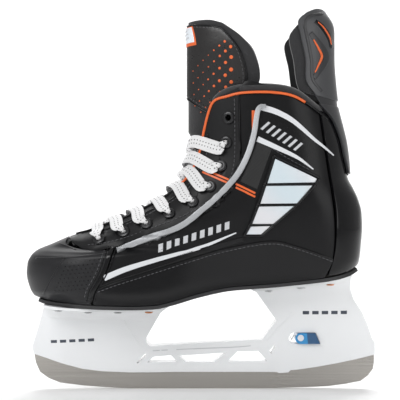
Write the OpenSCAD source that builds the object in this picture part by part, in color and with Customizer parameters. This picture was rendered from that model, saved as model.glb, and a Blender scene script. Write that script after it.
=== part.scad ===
// Left ice hockey skate: moulded boot, two-tower blade holder and swing-out steel runner.
// +X runs from toe to heel, +Y to the inner side of the foot, +Z up. Lengths are in millimetres.

/* [Overall] */
// Length of the boot from toe to heel
boot_length = 291; // [260:1:320]
// Height of the cuff above the front of the sole
boot_height = 187; // [165:1:205]
// Width of the boot at the ball of the foot
boot_width = 98; // [84:1:112]
// Height of the boot's flat front sole above the ice
sole_height = 72; // [66:0.5:80]

/* [Boot shell] */
// Thickness of the outer shell
shell_t = 2; // [1.2:0.1:3]
// Thickness of the padded lining
liner_t = 3.2; // [2:0.1:4]
// Thickness of the ankle pads behind the lining
pad_t = 3.6; // [2:0.1:4.5]
// Thickness of the overlays bonded to the shell
overlay_t = 1.2; // [0.8:0.1:1.6]
// Gap left between neighbouring layers
layer_gap = 0.3; // [0.2:0.05:0.5]
// Room for glue between curved layers
glue_gap = 0.9; // [0.7:0.05:1.2]
// Thickness of the outsole plate
outsole_t = 2.5; // [2:0.1:3.5]
// Thickness of the insole board
board_t = 2; // [1.5:0.1:3]
// Thickness of the removable footbed
footbed_t = 3; // [2:0.1:4]

/* [Lacing] */
// Thickness of the laced facing
facing_t = 5; // [4:0.1:6]
// Diameter of the hole in the facing for an eyelet
eyelet_bore = 6; // [5.5:0.1:7]
// Outer diameter of an eyelet's flange
eyelet_flange = 10; // [9:0.1:11]
// Wall thickness of an eyelet's barrel
eyelet_wall = 0.4; // [0.3:0.05:0.6]
// Width of the flat lace
lace_w = 8; // [7:0.5:9]
// Thickness of the flat lace
lace_t = 1.2; // [0.8:0.1:1.4]

/* [Tongue] */
// Height of the tongue's top above the front of the sole
tongue_height = 244.5; // [230:0.5:255]
// Thickness of the felt of the tongue
tongue_t = 7; // [5:0.5:8]

/* [Tendon guard] */
// Height of the tendon guard's top above the front of the sole
guard_height = 254; // [235:0.5:265]
// Thickness of the tendon guard's plate
guard_t = 2.6; // [2:0.1:3.5]
// Thickness of the felt inside the tendon guard
guard_felt_t = 4; // [3:0.5:5]

/* [Holder and runner] */
// Length of the runner along the ice
runner_length = 294; // [270:1:310]
// Thickness of the steel runner
runner_t = 3; // [2.6:0.1:3.4]
// Width of the holder's foot around the runner
holder_w = 12; // [11:0.5:16]
// Width of the front mounting flange
front_flange_w = 76; // [64:1:80]
// Width of the rear mounting flange
rear_flange_w = 62; // [54:1:66]
// Thickness of the mounting flanges
flange_t = 2.4; // [1.8:0.1:3.5]
// Side clearance between the runner and its slot
slot_clear = 0.15; // [0.1:0.05:0.3]
// Travel of the blue release slider
slider_travel = 5; // [3:0.5:6]
// Diameter of the heads of the mounting rivets
rivet_head_d = 7; // [6:0.1:8]

/* [Hidden] */

lateral = -1;
medial = 1;

// Nominal sizes at which the outlines below were drawn
nominal_length = 291;
nominal_height = 187;
nominal_sole = 72;
nominal_ball = 98;
nominal_runner = 294;
kx = boot_length / nominal_length;
kz = boot_height / nominal_height;
kw = boot_width / nominal_ball;
kr = runner_length / nominal_runner;

function lerp(a, b, t) = a + (b - a) * t;
function clamp(t) = min(max(t, 0), 1);
function unit(v) = v / max(norm(v), 1e-9);
function smooth(t) = let(s = clamp(t)) s * s * (3 - 2 * s);

// Smooth line through rows of [key, value], without overshoot
function row_of(rows, k, i = 0) = (i >= len(rows) - 2 || k < rows[i + 1][0]) ? i : row_of(rows, k, i + 1);
function rise(rows, i) = (rows[i + 1][1] - rows[i][1]) / (rows[i + 1][0] - rows[i][0]);
function slope_at(rows, i) =
    i == 0 ? rise(rows, 0)
    : i == len(rows) - 1 ? rise(rows, i - 1)
    : rise(rows, i - 1) * rise(rows, i) <= 0 ? 0
    : 2 / (1 / rise(rows, i - 1) + 1 / rise(rows, i));
function curve(rows, k) =
    let(i = row_of(rows, k), h = rows[i + 1][0] - rows[i][0], t = clamp((k - rows[i][0]) / h))
    (2 * t ^ 3 - 3 * t ^ 2 + 1) * rows[i][1] + (t ^ 3 - 2 * t ^ 2 + t) * h * slope_at(rows, i)
    + (3 * t ^ 2 - 2 * t ^ 3) * rows[i + 1][1] + (t ^ 3 - t ^ 2) * h * slope_at(rows, i + 1);

// Points of the boot, drawn in side view at the nominal size
function px(x) = x * kx;
function pz(z) = sole_height + (z - nominal_sole) * kz;
function side_points(points) = [for (p = points) [px(p[0]), pz(p[1])]];
function by_height(rows) = [for (r = rows) [pz(r[0]), px(r[1])]];

// Front and top line of the boot, then its back line, as [height, x]
front_line = by_height([[64, -126], [74.5, -137.5], [85.5, -147], [100.5, -150.3], [109, -149.5],
    [115.5, -146.5], [120, -141], [125, -129], [132, -113], [139, -95.5], [145, -82], [151.5, -68],
    [160, -48.5], [165, -38.5], [171, -29.5], [179.5, -22], [187.5, -17], [196, -13.5], [206, -11.5], [217, -11],
    [320, -11]]);
back_line = by_height([[95, 129], [104.5, 135.5], [112, 138], [125.5, 139.5], [139, 140.5], [152.5, 140],
    [165, 137], [174.5, 132], [183.5, 127.5], [196, 126.5], [211.5, 124.5], [226.5, 121], [240, 117.5],
    [255, 114.5], [320, 113]]);
// How deep the front and the back of the boot are rounded, as [height, depth]
front_depth = by_height([[75, 62], [110, 62], [135, 46], [160, 38], [175, 52], [190, 66], [205, 75],
    [320, 75]]);
back_depth = by_height([[75, 36], [120, 38], [165, 44], [200, 46], [320, 42]]);
// Sole line, as [x, height]
sole_line = [for (p = [[-139, 77], [-130, 74.5], [-109, 73], [-84, 72], [-54.5, 72], [-37.5, 72.5],
    [-25, 75], [0, 82], [25, 87], [42, 88.3], [59, 89.5], [84, 92], [109.5, 95], [126, 98.5], [136, 103]])
    [px(p[0]), pz(p[1])]];
// Half width of the boot near the sole, at mid height and at the cuff, as [x, half width]
low_width = [for (p = [[-150, 40], [-130, 44], [-100, 48], [-66, 49], [-30, 44], [0, 38.5], [40, 35.5],
    [90, 35], [140, 34]]) [px(p[0]), p[1] * kw]];
mid_width = [for (p = [[-90, 47], [-50, 43], [0, 41], [50, 39.5], [85, 39.5], [140, 35]])
    [px(p[0]), p[1] * kw]];
cuff_width = [for (p = [[-10, 40], [50, 41], [90, 39], [120, 35]]) [px(p[0]), p[1] * kw]];
// Sideways bend of the boot's centre line, as [x, y]
centre_line = [for (p = [[-150, 4.5], [-100, 2], [-60, -1.1], [0, -2.6], [60, -1], [140, 0]])
    [px(p[0]), p[1]]];

function round_off(t, p) = (1 - (1 - clamp(t)) ^ p) ^ (1 / p);
function boot_side(x, z) =
    let(low = curve(low_width, x), mid = curve(mid_width, x), top = curve(cuff_width, x))
    z < pz(165) ? lerp(low, mid, smooth((z - pz(85)) / (pz(165) - pz(85))))
    : lerp(mid, top, smooth((z - pz(165)) / (pz(255) - pz(165))));
function front_x(z) = curve(front_line, z);
function back_x(z) = curve(back_line, z);
function half_width(x, z) =
    let(slope = (front_x(z + 1) - front_x(z - 1)) / 2,
        from_front = (x - front_x(z)) / sqrt(1 + slope * slope) / curve(front_depth, z),
        from_back = (back_x(z) - x) / curve(back_depth, z),
        from_sole = (z - curve(sole_line, x)) / 12)
    boot_side(x, z) * round_off(from_front, z < pz(132) ? 2.3 : 2) * round_off(from_back, 2)
    * (0.85 + 0.15 * round_off(from_sole, 2));

// Wrap coordinate round the boot: 0 on the front line, 1 on the back line
function wrap_of(x, z) =
    acos(max(-1, min(1, 1 - 2 * (x - front_x(z)) / (back_x(z) - front_x(z))))) / 180;
function skin(a, side, z) =
    let(x = lerp(front_x(z), back_x(z), (1 - cos(180 * clamp(a))) / 2))
    [x, curve(centre_line, x) + side * half_width(x, z), z];
function skin_normal(a, side, z) =
    let(e = 0.004, along = skin(min(a + e, 1), side, z) - skin(max(a - e, 0), side, z),
        up = skin(a, side, z + 0.6) - skin(a, side, z - 0.6))
    unit(side * cross(up, along));
function on_skin(a, side, z, d) = skin(a, side, z) + d * skin_normal(a, side, z);
function over_point(x, z, side, d) = on_skin(wrap_of(x, z), side, z, d);

// Smooth net of side-view points: u runs along each row and v from row to row
function along(points, t) =
    let(n = len(points) - 1, s = clamp(t) * n, i = min(floor(s), n - 1), f = s - i,
        b = points[i], c = points[i + 1],
        a = i > 0 ? points[i - 1] : 2 * b - c, d = i < n - 1 ? points[i + 2] : 2 * c - b)
    b + f / 2 * (c - a + f * (2 * a - 5 * b + 4 * c - d + f * (3 * (b - c) + d - a)));
function net_point(net, u, v) = along([for (row = net) along(row, u)], v);

// Closed solid between two grids of points; both grids have nu + 1 columns and nv + 1 rows
module slab(outer, inner, nu, nv) {
    w = nu + 1;
    n = w * (nv + 1);
    function quad(a, b, c, d) = [[a, b, c], [a, c, d]];
    outside = [for (j = [0:nv - 1]) for (i = [0:nu - 1])
        each quad(j * w + i, j * w + i + 1, (j + 1) * w + i + 1, (j + 1) * w + i)];
    inside = [for (f = outside) [f[2] + n, f[1] + n, f[0] + n]];
    rim = concat([for (i = [0:nu - 1]) i], [for (j = [0:nv - 1]) j * w + nu],
        [for (i = [nu:-1:1]) nv * w + i], [for (j = [nv:-1:1]) j * w]);
    border = [for (k = [0:len(rim) - 1]) let(a = rim[k], b = rim[(k + 1) % len(rim)])
        each quad(a, a + n, b + n, b)];
    polyhedron(concat(outer, inner), concat(outside, inside, border));
}

// Layer of the boot on one side, from depth low to depth high
module side_layer(net, side, low, high, nu, nv) {
    places = [for (j = [0:nv]) for (i = [0:nu])
        let(p = net_point(net, side < 0 ? i / nu : 1 - i / nu, j / nv), a = wrap_of(p[0], p[1]))
        [skin(a, side, p[1]), skin_normal(a, side, p[1])]];
    slab([for (p = places) p[0] + high * p[1]], [for (p = places) p[0] + low * p[1]], nu, nv);
}

// Layer that wraps round the toe or the heel, drawn for one side and mirrored on to the other
module wrap_layer(net, low, high, nu, nv, heel = false) {
    turn = heel ? 1 : -1;
    places = [for (j = [0:nv]) for (i = [0:nu])
        let(u = turn * (2 * i / nu - 1), p = net_point(net, abs(u), j / nv),
            side = u > 0 ? medial : lateral,
            a = abs(u) < 1e-6 ? (heel ? 1 : 0) : wrap_of(p[0], p[1]))
        [skin(a, side, p[1]), skin_normal(a, side, p[1])]];
    slab([for (p = places) p[0] + high * p[1]], [for (p = places) p[0] + low * p[1]], nu, nv);
}

// Depths of the layers below the skin of the boot
shell_top = -overlay_t - glue_gap;
shell_low = shell_top - shell_t;
liner_top = shell_low - glue_gap;
liner_low = liner_top - liner_t;
facing_low = -facing_t;

// Outlines of the boot's panels in side view, from the sole up and from toe to heel
wall_lift = outsole_t + 2 * layer_gap;
function foot(x) = [px(x), curve(sole_line, px(x)) + wall_lift];
function foots(xs) = [for (x = xs) foot(x)];
facing_front = side_points([[-112, 132], [-95.5, 137.2], [-80, 143], [-60.5, 151], [-40, 161], [-22, 172],
    [-8.5, 186], [-0.5, 204], [3, 222], [9, 246]]);
facing_rear = side_points([[-106, 126], [-92, 121], [-74, 123.5], [-55, 129], [-35, 136.5], [-14, 144.5],
    [6, 155.5], [24, 172], [33, 195], [32, 256.5]]);

toe_net = [
    [for (z = [[0, 81], [0.35, 77.5], [0.7, 76], [1, 75.6]])
        [z[0] == 0 ? front_x(pz(z[1])) : lerp(px(-143), px(-91), z[0]), pz(z[1]) + (wall_lift - 2.8)]],
    [[front_x(pz(96)), pz(96)], [px(-136), pz(92)], [px(-110), pz(89)], [px(-87), pz(88.5)]],
    [[front_x(pz(110)), pz(110)], [px(-136), pz(106)], [px(-110), pz(103)], [px(-80), pz(102)]],
    [[front_x(pz(121)), pz(121)], [px(-128), pz(117)], [px(-104), pz(114.5)], [px(-75), pz(114)]],
    [[front_x(pz(131.5)), pz(131.5)], [px(-113), pz(125.5)], [px(-97), pz(121.5)], [px(-75.2), pz(121.5)]]
];
quarter_net = [
    foots([-89.5, -62, -38, -14, 8, 28, 48, 68, 86, 104]),
    side_points([[-86, 90], [-60, 90.5], [-38, 92], [-14, 96], [8, 99], [28, 102], [48, 105], [68, 107],
        [88, 108], [111, 110]]),
    side_points([[-75.5, 108], [-52, 110], [-32, 113.5], [-10, 118], [12, 124], [32, 130], [52, 134],
        [72, 136], [91, 137.5], [113, 138]]),
    side_points([[-72.5, 121.5], [-48, 128.5], [-26, 137], [-4, 147], [16, 157], [31, 168], [48, 174],
        [68, 176], [88, 175], [110, 172]]),
    side_points([[-71, 123], [-42, 132.5], [-16, 142.5], [6, 154], [23, 169.5], [34, 196], [48, 213],
        [66, 216], [85, 215], [104, 212]]),
    side_points([[-70, 123.4], [-40, 133], [-14, 143], [8, 155.2], [25, 171.6], [34.3, 196], [34, 257.3],
        [56, 258.8], [79, 255], [100, 243]])
];
heel_net = [
    [for (p = [[137, 109], [128, 103.5], [118, 101], [107.5, 99.5]]) [px(p[0]), pz(p[1])]],
    side_points([[139, 122], [132, 121], [123, 120.5], [113.2, 120]]),
    side_points([[140, 150], [132, 150], [124, 150], [114.5, 150]]),
    side_points([[132, 174], [126, 174], [119, 174], [111.5, 174]]),
    side_points([[124.5, 211], [118, 211.5], [112, 212], [105.5, 212]]),
    side_points([[119, 232], [114, 233.5], [108, 235.5], [101.5, 238]])
];

module outsole() {
    color("#1a1a1c") sole_plate(0, outsole_t, 0.4, 30, 4);
}

// Plate that follows the sole line, from height low to height high above it
module sole_plate(low, high, margin, nu, nv, cup = 0, start = 0, end = 1) {
    function edge_point(a) =
        let(a2 = lerp(start, end, a), x = lerp(px(-137), px(134), (1 - cos(180 * a2)) / 2),
            z = curve(sole_line, x) + wall_lift + 1.5)
        [x, max(half_width(max(x, front_x(z) + 0.4), z) + margin, 1.5)];
    function grid(h) = [for (j = [0:nv]) for (i = [0:nu])
        let(e = edge_point(i / nu), t = 2 * j / nv - 1)
        [e[0], curve(centre_line, e[0]) + t * e[1], curve(sole_line, e[0]) + h + cup * t ^ 4]];
    slab(grid(high), grid(low), nu, nv);
}

module insole_board() {
    color("#2b2b2e") sole_plate(wall_lift, wall_lift + board_t, -9, 20, 2, 0, 0.16, 0.86);
}

module footbed() {
    low = wall_lift + board_t + layer_gap;
    color("#3a3b3f") sole_plate(low, low + footbed_t, -13.5, 20, 4, 2.5, 0.17, 0.85);
}

module toe_cap() {
    color("#232326") wrap_layer(toe_net, -shell_t, 0, 24, 10);
}

module toe_lining() {
    color("#1c1c1f") wrap_layer(toe_net, -shell_t - glue_gap - liner_t / 2, -shell_t - glue_gap, 18, 8);
}

module quarter(side) {
    side_layer(quarter_net, side, shell_low, shell_top, 22, 12);
}

module quarter_lateral() {
    color("#151517") quarter(lateral);
}

module quarter_medial() {
    color("#151517") quarter(medial);
}

// The lining's lower edge rests on the insole board, clear of the outsole
lining_net = [for (j = [0:len(quarter_net) - 1])
    j > 0 ? quarter_net[j] : [for (p = quarter_net[0]) p + [0, board_t]]];
module lining(side) {
    side_layer(lining_net, side, liner_low, liner_top, 22, 12);
}

module lining_lateral() {
    color("#0f0f10") lining(lateral);
}

module lining_medial() {
    color("#0f0f10") lining(medial);
}

// Pads over the ankle bones, inside the lining
pad_net = [
    side_points([[52, 140], [62, 132], [80, 130], [96, 136]]),
    side_points([[46, 160], [62, 158], [82, 158], [102, 160]]),
    side_points([[50, 196], [64, 196], [84, 198], [98, 200]]),
    side_points([[56, 240], [66, 246], [80, 243], [92, 236]])
];

module ankle_pad(side) {
    side_layer(pad_net, side, liner_low - glue_gap - pad_t, liner_low - glue_gap, 8, 10);
}

module ankle_pad_lateral() {
    color("#29292c") ankle_pad(lateral);
}

module ankle_pad_medial() {
    color("#29292c") ankle_pad(medial);
}

module heel_counter() {
    color("#101012") wrap_layer(heel_net, shell_low, 0, 14, 12, heel = true);
}

heel_lining_net = [for (row = heel_net) [for (i = [0:3]) row[i] + [i == 3 ? 0.8 : 0, 0]]];
module heel_lining() {
    color("#0f0f10") wrap_layer(heel_lining_net, liner_low, liner_top - 0.2, 14, 12, heel = true);
}

// Lower wrap bonded over the shell, between the sole and its rising top edge
wrap_net = [
    foots([-88.5, -60, -30, 0, 30, 60, 84, 104]),
    side_points([[-86.5, 86], [-72, 90], [-48, 96], [-10, 107], [24, 115], [58, 118.5], [80, 115],
        [110, 109]]),
    side_points([[-85, 89.5], [-70, 95], [-48, 102], [-8, 114.5], [22, 123], [58, 129], [80, 125],
        [111.5, 114]])
];

module side_wrap(side) {
    side_layer(wrap_net, side, -overlay_t, 0, 22, 5);
}

module side_wrap_lateral() {
    color("#242427") side_wrap(lateral);
}

module side_wrap_medial() {
    color("#242427") side_wrap(medial);
}

// Four-facet pearl panel set into the rear of each side
panel_net = [
    side_points([[39.5, 133.5], [50.5, 134]]),
    side_points([[43, 142], [62, 142.5]]),
    side_points([[49.5, 158.2], [80, 158.8]]),
    side_points([[56, 175.2], [95, 176.5]]),
    side_points([[62.5, 195], [98.5, 181.5]])
];

module side_panel(side) {
    side_layer(panel_net, side, -overlay_t, 0, 4, 10);
}

module side_panel_lateral() {
    color("#dfe6ea") side_panel(lateral);
}

module side_panel_medial() {
    color("#dfe6ea") side_panel(medial);
}

// Eyelets: places in side view, and the frame of each one on the skin
eyelet_places = side_points([[-84, 130], [-63.5, 136], [-44.5, 143.3], [-25.5, 151.5], [-6, 161.5],
    [8.5, 174.5], [17.5, 191.5], [22, 211], [24, 231.5]]);
eyelet_count = len(eyelet_places);
flange_t_eyelet = 0.8;
facing_net = [facing_rear, (facing_rear + facing_front) / 2, facing_front];

function eyelet_point(i, side, d) = over_point(eyelet_places[i][0], eyelet_places[i][1], side, d);
function eyelet_axis(i, side) =
    skin_normal(wrap_of(eyelet_places[i][0], eyelet_places[i][1]), side, eyelet_places[i][1]);

// Puts children at an eyelet, with +Z out of the boot
module at_eyelet(i, side) {
    n = eyelet_axis(i, side);
    p = eyelet_point(i, side, 0);
    translate(p) rotate([0, acos(n[2]), atan2(n[1], n[0])]) children();
}

module facing(side) {
    difference() {
        side_layer(facing_net, side, facing_low, 0, 27, 4);
        for (i = [0:eyelet_count - 1])
            at_eyelet(i, side) translate([0, 0, facing_low - 3])
                cylinder(d = eyelet_bore, h = 8 - facing_low, $fn = 32);
    }
}

module facing_lateral() {
    color("#121214") facing(lateral);
}

module facing_medial() {
    color("#121214") facing(medial);
}

// Eyelet: a barrel through the facing with a flange on the outside
barrel_r = eyelet_bore / 2 - 0.02;
flange_seat = 1.35;
flange_top = flange_seat + flange_t_eyelet;
eyelet_section = [[barrel_r - eyelet_wall, facing_low - 0.4], [barrel_r, facing_low - 0.4],
    [barrel_r, flange_seat], [eyelet_flange / 2, flange_seat],
    [eyelet_flange / 2 - 0.3, flange_seat + flange_t_eyelet * 0.6], [eyelet_flange / 2 - 1.4, flange_top],
    [barrel_r - eyelet_wall, flange_top]];

module eyelets(side) {
    for (i = [0:eyelet_count - 1])
        at_eyelet(i, side) rotate_extrude($fn = 32) polygon(eyelet_section);
}

module eyelets_lateral() {
    color("#0c0c0d") eyelets(lateral);
}

module eyelets_medial() {
    color("#0c0c0d") eyelets(medial);
}

// Closed solid on a shape given as a function of u and v, from depth low to depth high
module formed(spot, low, high, nu, nv, u0 = -1, u1 = 1) {
    function at(i, n, a, b) = a + (b - a) * i / n;
    function normal(u, v) =
        let(e = 0.01, v0 = max(v - e, 0), v1 = min(v + e, 1))
        unit(cross(spot(u, v1) - spot(u, v0), spot(u + e, v) - spot(u - e, v)));
    places = [for (j = [0:nv]) for (i = [0:nu])
        let(u = at(i, nu, u0, u1), v = j / nv) [spot(u, v), normal(u, v)]];
    slab([for (p = places) p[0] + high * p[1]], [for (p = places) p[0] + low * p[1]], nu, nv);
}

// Bridge over the open throat: from a lateral point to a medial one, up to the skin between them
function in_boot(p) = abs(p[1] - curve(centre_line, p[0])) < half_width(p[0], p[2]);
function reach(p, n, low, high, k) =
    k == 0 ? low : let(m = (low + high) / 2) in_boot(p + m * n) ? reach(p, n, m, high, k - 1)
    : reach(p, n, low, m, k - 1);
function skin_out(q) =
    skin_normal(wrap_of(q[0], q[2]), q[1] < curve(centre_line, q[0]) ? lateral : medial, q[2]);
function bridge(a, b, up, t, d) =
    let(p = lerp(a, b, t), q = p + reach(p, up, 0, 50, 13) * up) q + d * skin_out(q);
function up_of(tangent) = unit([-tangent[2], 0, tangent[0]]);

// Lace: straight bar at the lowest eyelets, then crossings up to the last laced pair
laced = eyelet_count - 1;
hole_lace_w = 4;
hole_lace_t = 1.9;
over_h = flange_top + 1.25;
under_h = facing_low - 1.3;
turn_h = facing_low - 2;

function facing_tangent(i) =
    let(a = eyelet_places[max(i - 1, 0)], b = eyelet_places[min(i + 1, eyelet_count - 1)])
    unit([b[0] - a[0], 0, b[1] - a[1]]);
// Each stop is [point, width, thickness, direction across the lace]
function stop(p, w, t, i) = [p, w, t, facing_tangent(i)];
function run_dir(i, side, toward) =
    let(n = eyelet_axis(i, side), c = toward - eyelet_point(i, side, 0)) unit(c - (c * n) * n);
function leaving(i, side, toward) =
    let(e = eyelet_point(i, side, 0), n = eyelet_axis(i, side), r = run_dir(i, side, toward))
    [stop(e + facing_low / 2 * n, hole_lace_w, hole_lace_t, i),
     stop(e + (facing_low - 0.4) * n, hole_lace_w, hole_lace_t, i),
     stop(e + 0.5 * r + (turn_h + 0.6) * n, hole_lace_w, hole_lace_t, i),
     stop(e + 2.2 * r + turn_h * n, hole_lace_w + 0.5, hole_lace_t - 0.2, i)];
function entering(i, side, from) =
    let(e = eyelet_point(i, side, 0), n = eyelet_axis(i, side), r = run_dir(i, side, from))
    [stop(e + 8 * r + (flange_top + 0.2) * n, lace_w, lace_t, i),
     stop(e + 4.4 * r + over_h * n, lace_w * 0.72, 1.6, i),
     stop(e + 2 * r + (over_h + 0.3) * n, hole_lace_w + 0.4, hole_lace_t, i),
     stop(e + 0.5 * r + (over_h - 0.9) * n, hole_lace_w, hole_lace_t, i),
     stop(e + 0.1 * n, hole_lace_w, hole_lace_t, i)];
// Rows of [share of the way across, height over the skin, width]
over_profile = [[0.15, under_h, 7], [0.23, under_h, 6.5], [0.3, under_h, 5.5], [0.36, -3.2, 5.5],
    [0.43, -1.2, 6], [0.5, -0.8, 6.5], [0.6, 0.8, 7], [0.7, 2, lace_w], [0.8, 1.6, lace_w]];
under_profile = [[0.15, under_h, 7], [0.24, under_h, 6.5], [0.31, under_h, 6], [0.39, -7, 6],
    [0.5, -5.4, 6.5], [0.59, -4.6, 6], [0.64, -3.2, 5.5], [0.7, 2, 6], [0.8, 1.6, lace_w]];
bar_profile = [[0.82, 1.5, lace_w], [0.7, 1.5, lace_w], [0.6, 1, lace_w], [0.5, 0.8, lace_w],
    [0.4, 1, lace_w], [0.3, 1.5, lace_w], [0.18, 1.5, lace_w]];

function crossing(i, side, profile) =
    let(a = eyelet_point(i, side, 0), b = eyelet_point(i + 1, -side, 0),
        up = up_of(facing_tangent(i + 0.5)),
        lat = side == lateral ? a : b, med = side == lateral ? b : a)
    concat(leaving(i, side, b),
        [for (s = profile) let(t = side == lateral ? s[0] : 1 - s[0])
            stop(bridge(lat, med, up, t, s[1]), s[2], lace_t, i + 0.5)],
        entering(i + 1, -side, a));
function chain(side, profile) =
    [for (i = [0:laced - 2]) each crossing(i, i % 2 == 0 ? side : -side, profile)];
function last_side(side) = laced % 2 == 0 ? -side : side;
function tail(side) =
    let(s = last_side(side), e = eyelet_point(laced - 1, s, 0), n = eyelet_axis(laced - 1, s))
    [stop(e + facing_low / 2 * n, hole_lace_w, hole_lace_t, laced - 1),
     stop(e + (facing_low - 1) * n, hole_lace_w, hole_lace_t, laced - 1)];
function reversed(list) = [for (i = [len(list) - 1:-1:0]) list[i]];
bar = let(a = eyelet_point(0, lateral, 0), b = eyelet_point(0, medial, 0), up = up_of(facing_tangent(0.5)))
    concat(reversed(entering(0, lateral, b)),
        [for (s = reversed(bar_profile)) stop(bridge(a, b, up, s[0], s[1]), s[2], lace_t, 0)],
        entering(0, medial, a));
lace_path = concat(reversed(concat(chain(lateral, over_profile), tail(lateral))), bar,
    chain(medial, under_profile), tail(medial));

// Band swept along stops, with a flat section across each one
module band(path) {
    n = len(path);
    function tangent(i) = unit(path[min(i + 1, n - 1)][0] - path[max(i - 1, 0)][0]);
    rings = [for (i = [0:n - 1])
        let(t = tangent(i), c = path[i][3], b = unit(c - (c * t) * t), u = cross(b, t),
            w = path[i][1] / 2, h = path[i][2] / 2, p = path[i][0])
        each [p + w * b - h * u, p + w * b + h * u, p - w * b + h * u, p - w * b - h * u]];
    walls = [for (i = [0:n - 2]) for (k = [0:3])
        let(a = 4 * i + k, b = 4 * i + (k + 1) % 4, c = b + 4, d = a + 4) each [[a, b, c], [a, c, d]]];
    caps = [[0, 2, 1], [0, 3, 2], [4 * n - 4, 4 * n - 3, 4 * n - 2], [4 * n - 4, 4 * n - 2, 4 * n - 1]];
    polyhedron(rings, concat(walls, caps));
}

module lace() {
    color("#f2f2f0") band(lace_path);
}

// Free ends of the lace, tucked down inside the boot
function end_route(side) = [for (p = side == lateral ? end_points_lateral : end_points_medial)
    [px(p[0]), p[1] * kw, pz(p[2])]];
end_points_lateral = [[22, -21, 206], [24, -21, 200], [27, -21.5, 193], [30, -22, 185.5], [33.5, -23, 177],
    [36.5, -24, 168], [39, -24.5, 158], [40.5, -25, 147], [40.5, -25, 136], [38.5, -24.5, 125],
    [34, -23.5, 114], [27, -22, 105], [17.5, -21, 98.5], [6.5, -20.5, 94.6], [-4.5, -20, 92],
    [-14.5, -19.5, 89.4], [-24, -19, 86.8]];
end_points_medial = [for (p = end_points_lateral) [p[0], -p[1] - 4, p[2]]];

module end_tube(route, across, thick) {
    sides = 8;
    n = len(route);
    rings = [for (i = [0:n - 1])
        let(t = unit(route[min(i + 1, n - 1)] - route[max(i - 1, 0)]),
            w = lerp(cross(t, [0, 1, 0]), [0, 1, 0], smooth((i / (n - 1) - 0.5) / 0.3)),
            b = unit(w - (w * t) * t), u = cross(t, b))
        each [for (k = [0:sides - 1])
            route[i] + across / 2 * cos(360 * k / sides) * b + thick / 2 * sin(360 * k / sides) * u]];
    walls = [for (i = [0:n - 2]) for (k = [0:sides - 1])
        let(a = sides * i + k, b = sides * i + (k + 1) % sides, c = b + sides, d = a + sides)
        each [[a, c, b], [a, d, c]]];
    caps = [[for (k = [0:sides - 1]) k], [for (k = [sides - 1:-1:0]) sides * (n - 1) + k]];
    polyhedron(rings, concat(walls, caps));
}

module lace_end_lateral() {
    color("#f2f2f0") end_tube(end_route(lateral), lace_w - 2, 2);
}

module lace_end_medial() {
    color("#f2f2f0") end_tube(end_route(medial), lace_w - 2, 2);
}

// Plastic tips on the ends of the lace
tip_d = 3.2;
tip_l = 18;
tip_dip = 11;
module lace_tips() {
    color("#e8e8e8") for (side = [lateral, medial]) {
        route = end_route(side);
        translate(route[len(route) - 1]) rotate([0, -90 - tip_dip, 0]) translate([0, 0, 0.2])
            cylinder(d = tip_d, h = tip_l, $fn = 24);
    }
}

// Tongue: the base lies under the throat, the flap stands above the top crossing
tongue_depth = facing_low - 3.6;
tongue_edge = [for (i = [1:len(facing_front) - 2]) lerp(facing_front[i], facing_rear[i], 0.55)];
function tongue_skin(u, v) =
    let(e = 0.02, p = along(tongue_edge, v), q = along(tongue_edge, min(v + e, 1)),
        r = along(tongue_edge, max(v - e, 0)),
        up = up_of([q[0] - r[0], 0, q[1] - r[1]]))
    bridge(over_point(p[0], p[1], lateral, -4), over_point(p[0], p[1], medial, -4), up, (u + 1) / 2, 0);

module tongue_base() {
    color("#151517") formed(function(u, v) tongue_skin(u * 0.97, v), tongue_depth - tongue_t * 0.7,
        tongue_depth, 12, 14);
}

tongue_front = -11;
flap_half = 29;
flap_round = 75;
flap_waist = 0.9;
flap_flare = 1.14;
flap_shift = -1.4;
flap_top = tongue_height + sole_height;
function flap_z(z) = lerp(pz(219.5), flap_top, (z - 219.5) / (316.5 - 219.5));
flap_net = [for (row = [
    [[-11, 219.5], [2, 219.5], [14, 221], [24, 224]],
    [[-11, 240], [5, 240], [22, 242], [38, 245]],
    [[-11, 262], [8, 262], [30, 263], [50, 264]],
    [[-11, 284], [8, 285], [28, 286], [45.5, 286]],
    [[-11, 302], [4, 303], [20, 303], [34, 301]],
    [[-11, 316], [-3, 316.5], [8, 316], [18, 313]]]) [for (p = row) [px(p[0]), flap_z(p[1])]]];
function flap_skin(u, v) =
    let(s = min(abs(u), 1), p = net_point(flap_net, s ^ 1.5, v),
        spread = lerp(flap_waist, flap_flare, smooth((v - 0.25) / 0.5)))
    [p[0], sign(u) * flap_half * spread * kw * round_off((p[0] - px(tongue_front)) / flap_round, 1.75)
        + flap_shift, p[1]];

module tongue_flap() {
    color("#19191b") formed(function(u, v) flap_skin(u, v), -tongue_t, -0.8, 18, 12);
}

// Stiff face panel on the front of the flap, with a blank badge
module tongue_face() {
    color("#2d2e31") formed(function(u, v) flap_skin(u * lerp(0.42, 0.72, smooth(v * 3)), 0.08 + 0.82 * v),
        -0.5, 0.5, 14, 10);
}

module tongue_badge() {
    color("#e9ecef") formed(function(u, v) flap_skin(u * 0.22, 0.7 + 0.19 * v), 0.7, 1.5, 8, 4);
}

// Tendon guard: a fixed base wrapped on the heel and a flexing plate above it
guard_net = [
    [[back_x(pz(185)), pz(185)], [px(125.2), pz(186)]],
    [[back_x(pz(200)), pz(200)], [px(121.5), pz(200)]],
    [[back_x(pz(216)), pz(216)], [px(117.5), pz(216)]],
    [[back_x(pz(230)), pz(230)], [px(110.5), pz(231)]],
    [[back_x(pz(242)), pz(242)], [px(99), pz(243)]]];

module guard_base() {
    color("#4a4d52") wrap_layer(guard_net, layer_gap, layer_gap + guard_t, 12, 8, heel = true);
}

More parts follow.
